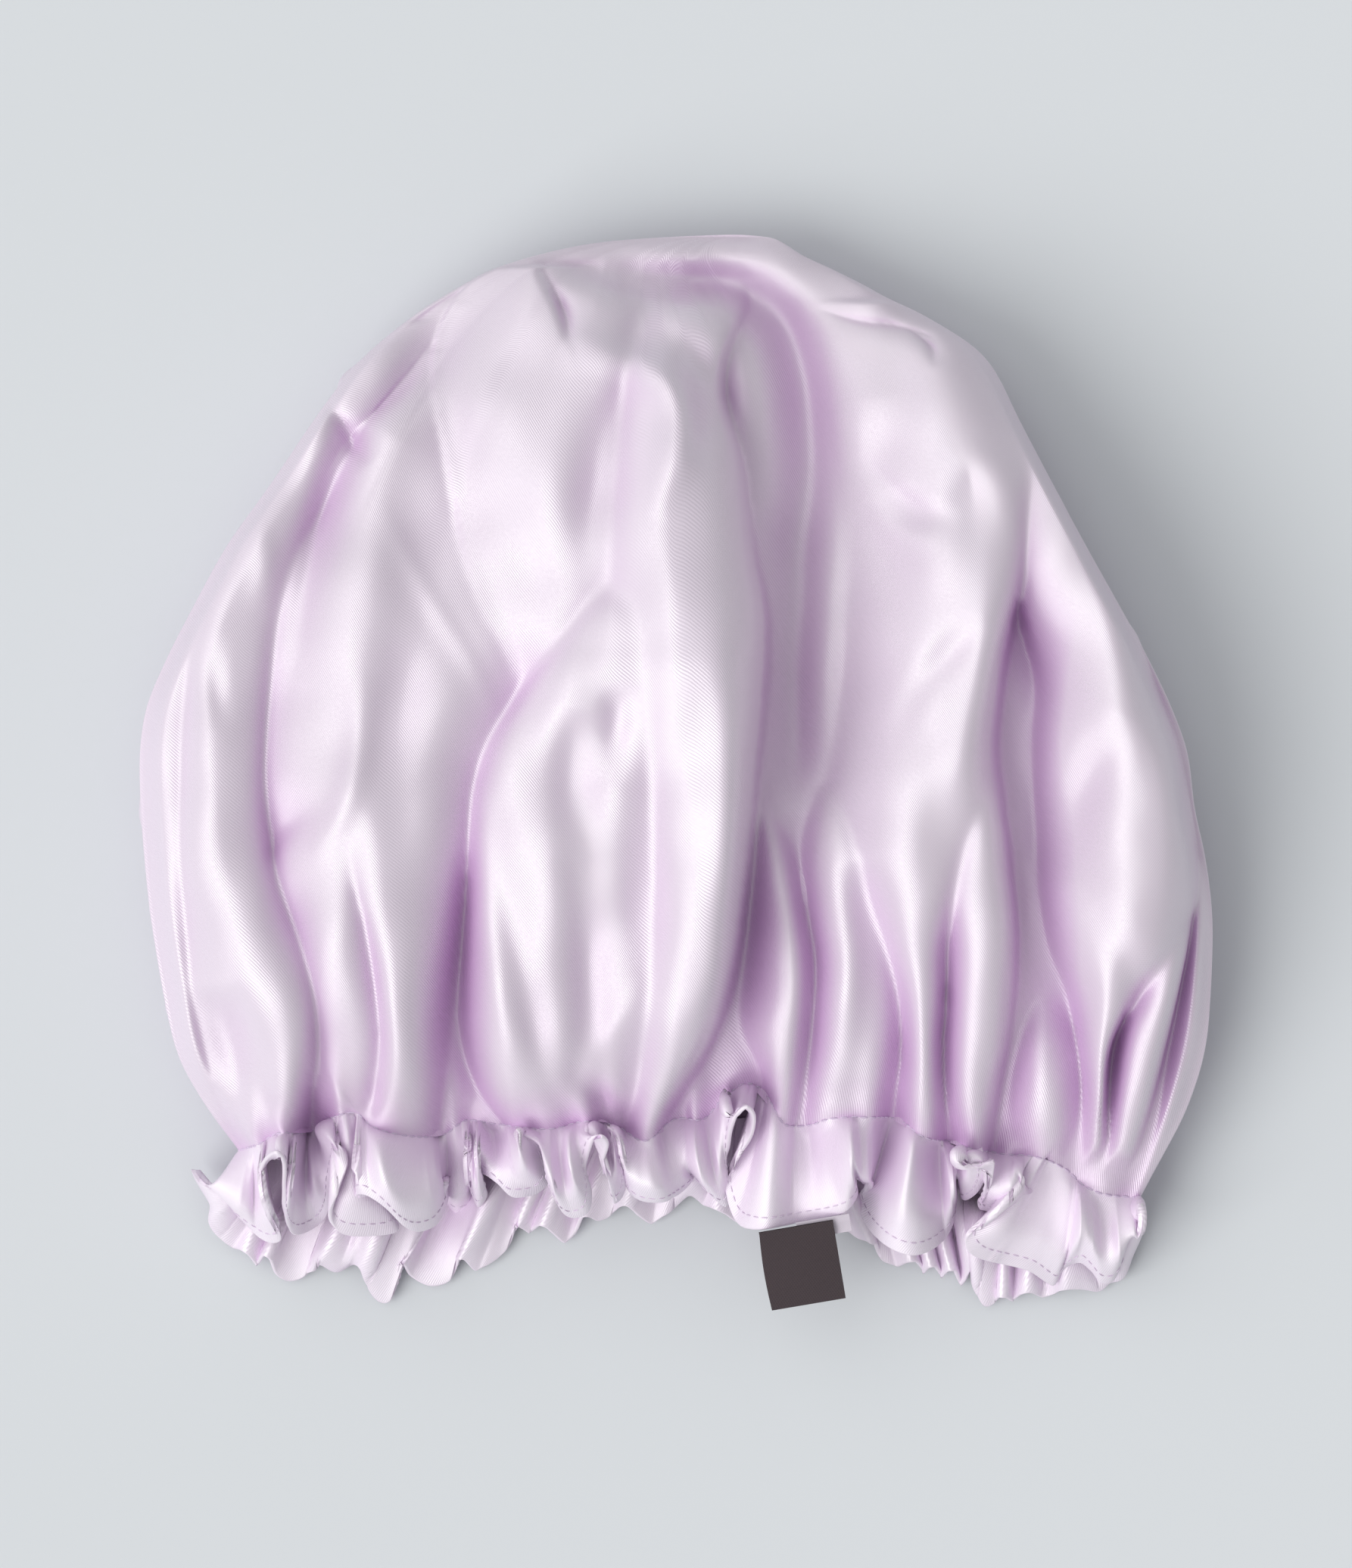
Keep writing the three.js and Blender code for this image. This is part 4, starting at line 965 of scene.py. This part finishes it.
def folded_tape(name, left, right, top, bottom, half, off):
    """A tape folded back on itself at its free end. Half is half the distance between its layers."""
    leaf_rows, columns, side_bow, face_curl = 24, 18, -0.45, 0.35
    down = np.linspace(top, bottom - half, leaf_rows)
    turn = np.linspace(np.pi / 2, -np.pi / 2, 7)[1:-1]
    along = np.concatenate([down, bottom - half + half * np.cos(turn), down[::-1]])
    height = np.concatenate([np.full(leaf_rows, half), half * np.sin(turn), np.full(leaf_rows, -half)])
    across = np.linspace(left, right, columns)
    share = np.clip(along / bottom, 0, 1)[:, None]
    bow = side_bow * np.sin(np.pi * share) * (right - across) / (right - left)
    curl = face_curl * np.sin(np.pi * share) * np.cos(np.pi * across / (right - left))
    points = (label_seam + along[:, None, None] * label_along + (across + bow)[..., None] * label_across
              + (height[:, None] + off + curl)[..., None] * label_off)
    walk = walked_lengths(np.column_stack([along, height]), 0)
    return grid_mesh(name, points[::-1], flat_grid(across, -walk)[::-1], closed=False)


woven_label = folded_tape("woven_label_cloth", left=-10.5, right=10.3, top=-1.0, bottom=21.9,
                          half=0.35, off=0)
label_twill = woven_tape("label_twill", colour=(0.076, 0.051, 0.058), shade=(0.034, 0.022, 0.027),
                         spacing=0.00048, slant=-0.62, strength=0.5, roughness=0.7)
woven_label.data.materials.append(label_twill)
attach(woven_label, "label")
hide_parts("woven_label")


# Care label
# A short pale woven tape, folded once and caught in the same seam under the woven label. Its right end
# peeks out beside the label.
care_label = folded_tape("care_label_tape", left=0.1, right=15.0, top=-1.8, bottom=3.3,
                         half=0.12, off=-0.95)
care_tape = woven_tape("care_tape", colour=(0.70, 0.64, 0.72), shade=(0.62, 0.56, 0.64),
                       spacing=0.0004, slant=0.62, strength=0.25, roughness=0.55)
care_label.data.materials.append(care_tape)
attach(care_label, "label")
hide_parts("care_label")


# Table, light and camera
# The cap lies on a plain pale blue-grey table, under two large soft lights from the left and an even
# pale sky. The camera looks straight down, and its picture is as tall as the photo.
table_mesh = bpy.data.meshes.new("table_top")
table_mesh.from_pydata([(-3, -3, 0), (3, -3, 0), (3, 3, 0), (-3, 3, 0)], [], [(0, 1, 2, 3)])
table = bpy.data.objects.new("table_top", table_mesh)
bpy.context.scene.collection.objects.link(table)
table_paint, table_nodes, _ = new_material("table_paint")
table_nodes["Principled BSDF"].inputs["Base Color"].default_value = (0.69, 0.72, 0.745, 1)
table_nodes["Principled BSDF"].inputs["Roughness"].default_value = 0.9
table_nodes["Principled BSDF"].inputs["Specular IOR Level"].default_value = 0.1
table_mesh.materials.append(table_paint)

# Each light: its name and strength, and in degrees how wide it looks, its tilt and its turn
windows = [("key_window", 1.8, 46, -46, 32), ("fill_window", 0.62, 60, -44, -38)]
for name, energy, spread, tilt, turn in windows:
    lamp = bpy.data.lights.new(name, "SUN")
    lamp.energy = energy
    lamp.angle = math.radians(spread)
    lamp.color = (1.0, 0.99, 0.98)
    holder = bpy.data.objects.new(name, lamp)
    holder.rotation_euler = (0, math.radians(tilt), math.radians(turn))
    bpy.context.scene.collection.objects.link(holder)
world = bpy.data.worlds.new("studio")
world.use_nodes = True
world.node_tree.nodes["Background"].inputs["Color"].default_value = (0.98, 0.99, 1.0, 1)
world.node_tree.nodes["Background"].inputs["Strength"].default_value = 0.46
bpy.context.scene.world = world
bpy.context.scene.view_settings.view_transform = "Standard"

camera_distance = 1.6
camera_plane = 0.03
photo_rows = 2072
photo_origin_row = 1019
photo_scale = 0.21 * MM
sensor_height = 24
photo_camera = bpy.data.cameras.new("photo_camera")
photo_camera.sensor_fit = "VERTICAL"
photo_camera.sensor_height = sensor_height
photo_camera.lens = sensor_height * camera_distance / (photo_rows * photo_scale)
camera = bpy.data.objects.new("photo_camera", photo_camera)
camera.location = (0, (photo_origin_row - photo_rows / 2) * photo_scale, camera_plane + camera_distance)
bpy.context.scene.collection.objects.link(camera)
bpy.context.scene.camera = camera
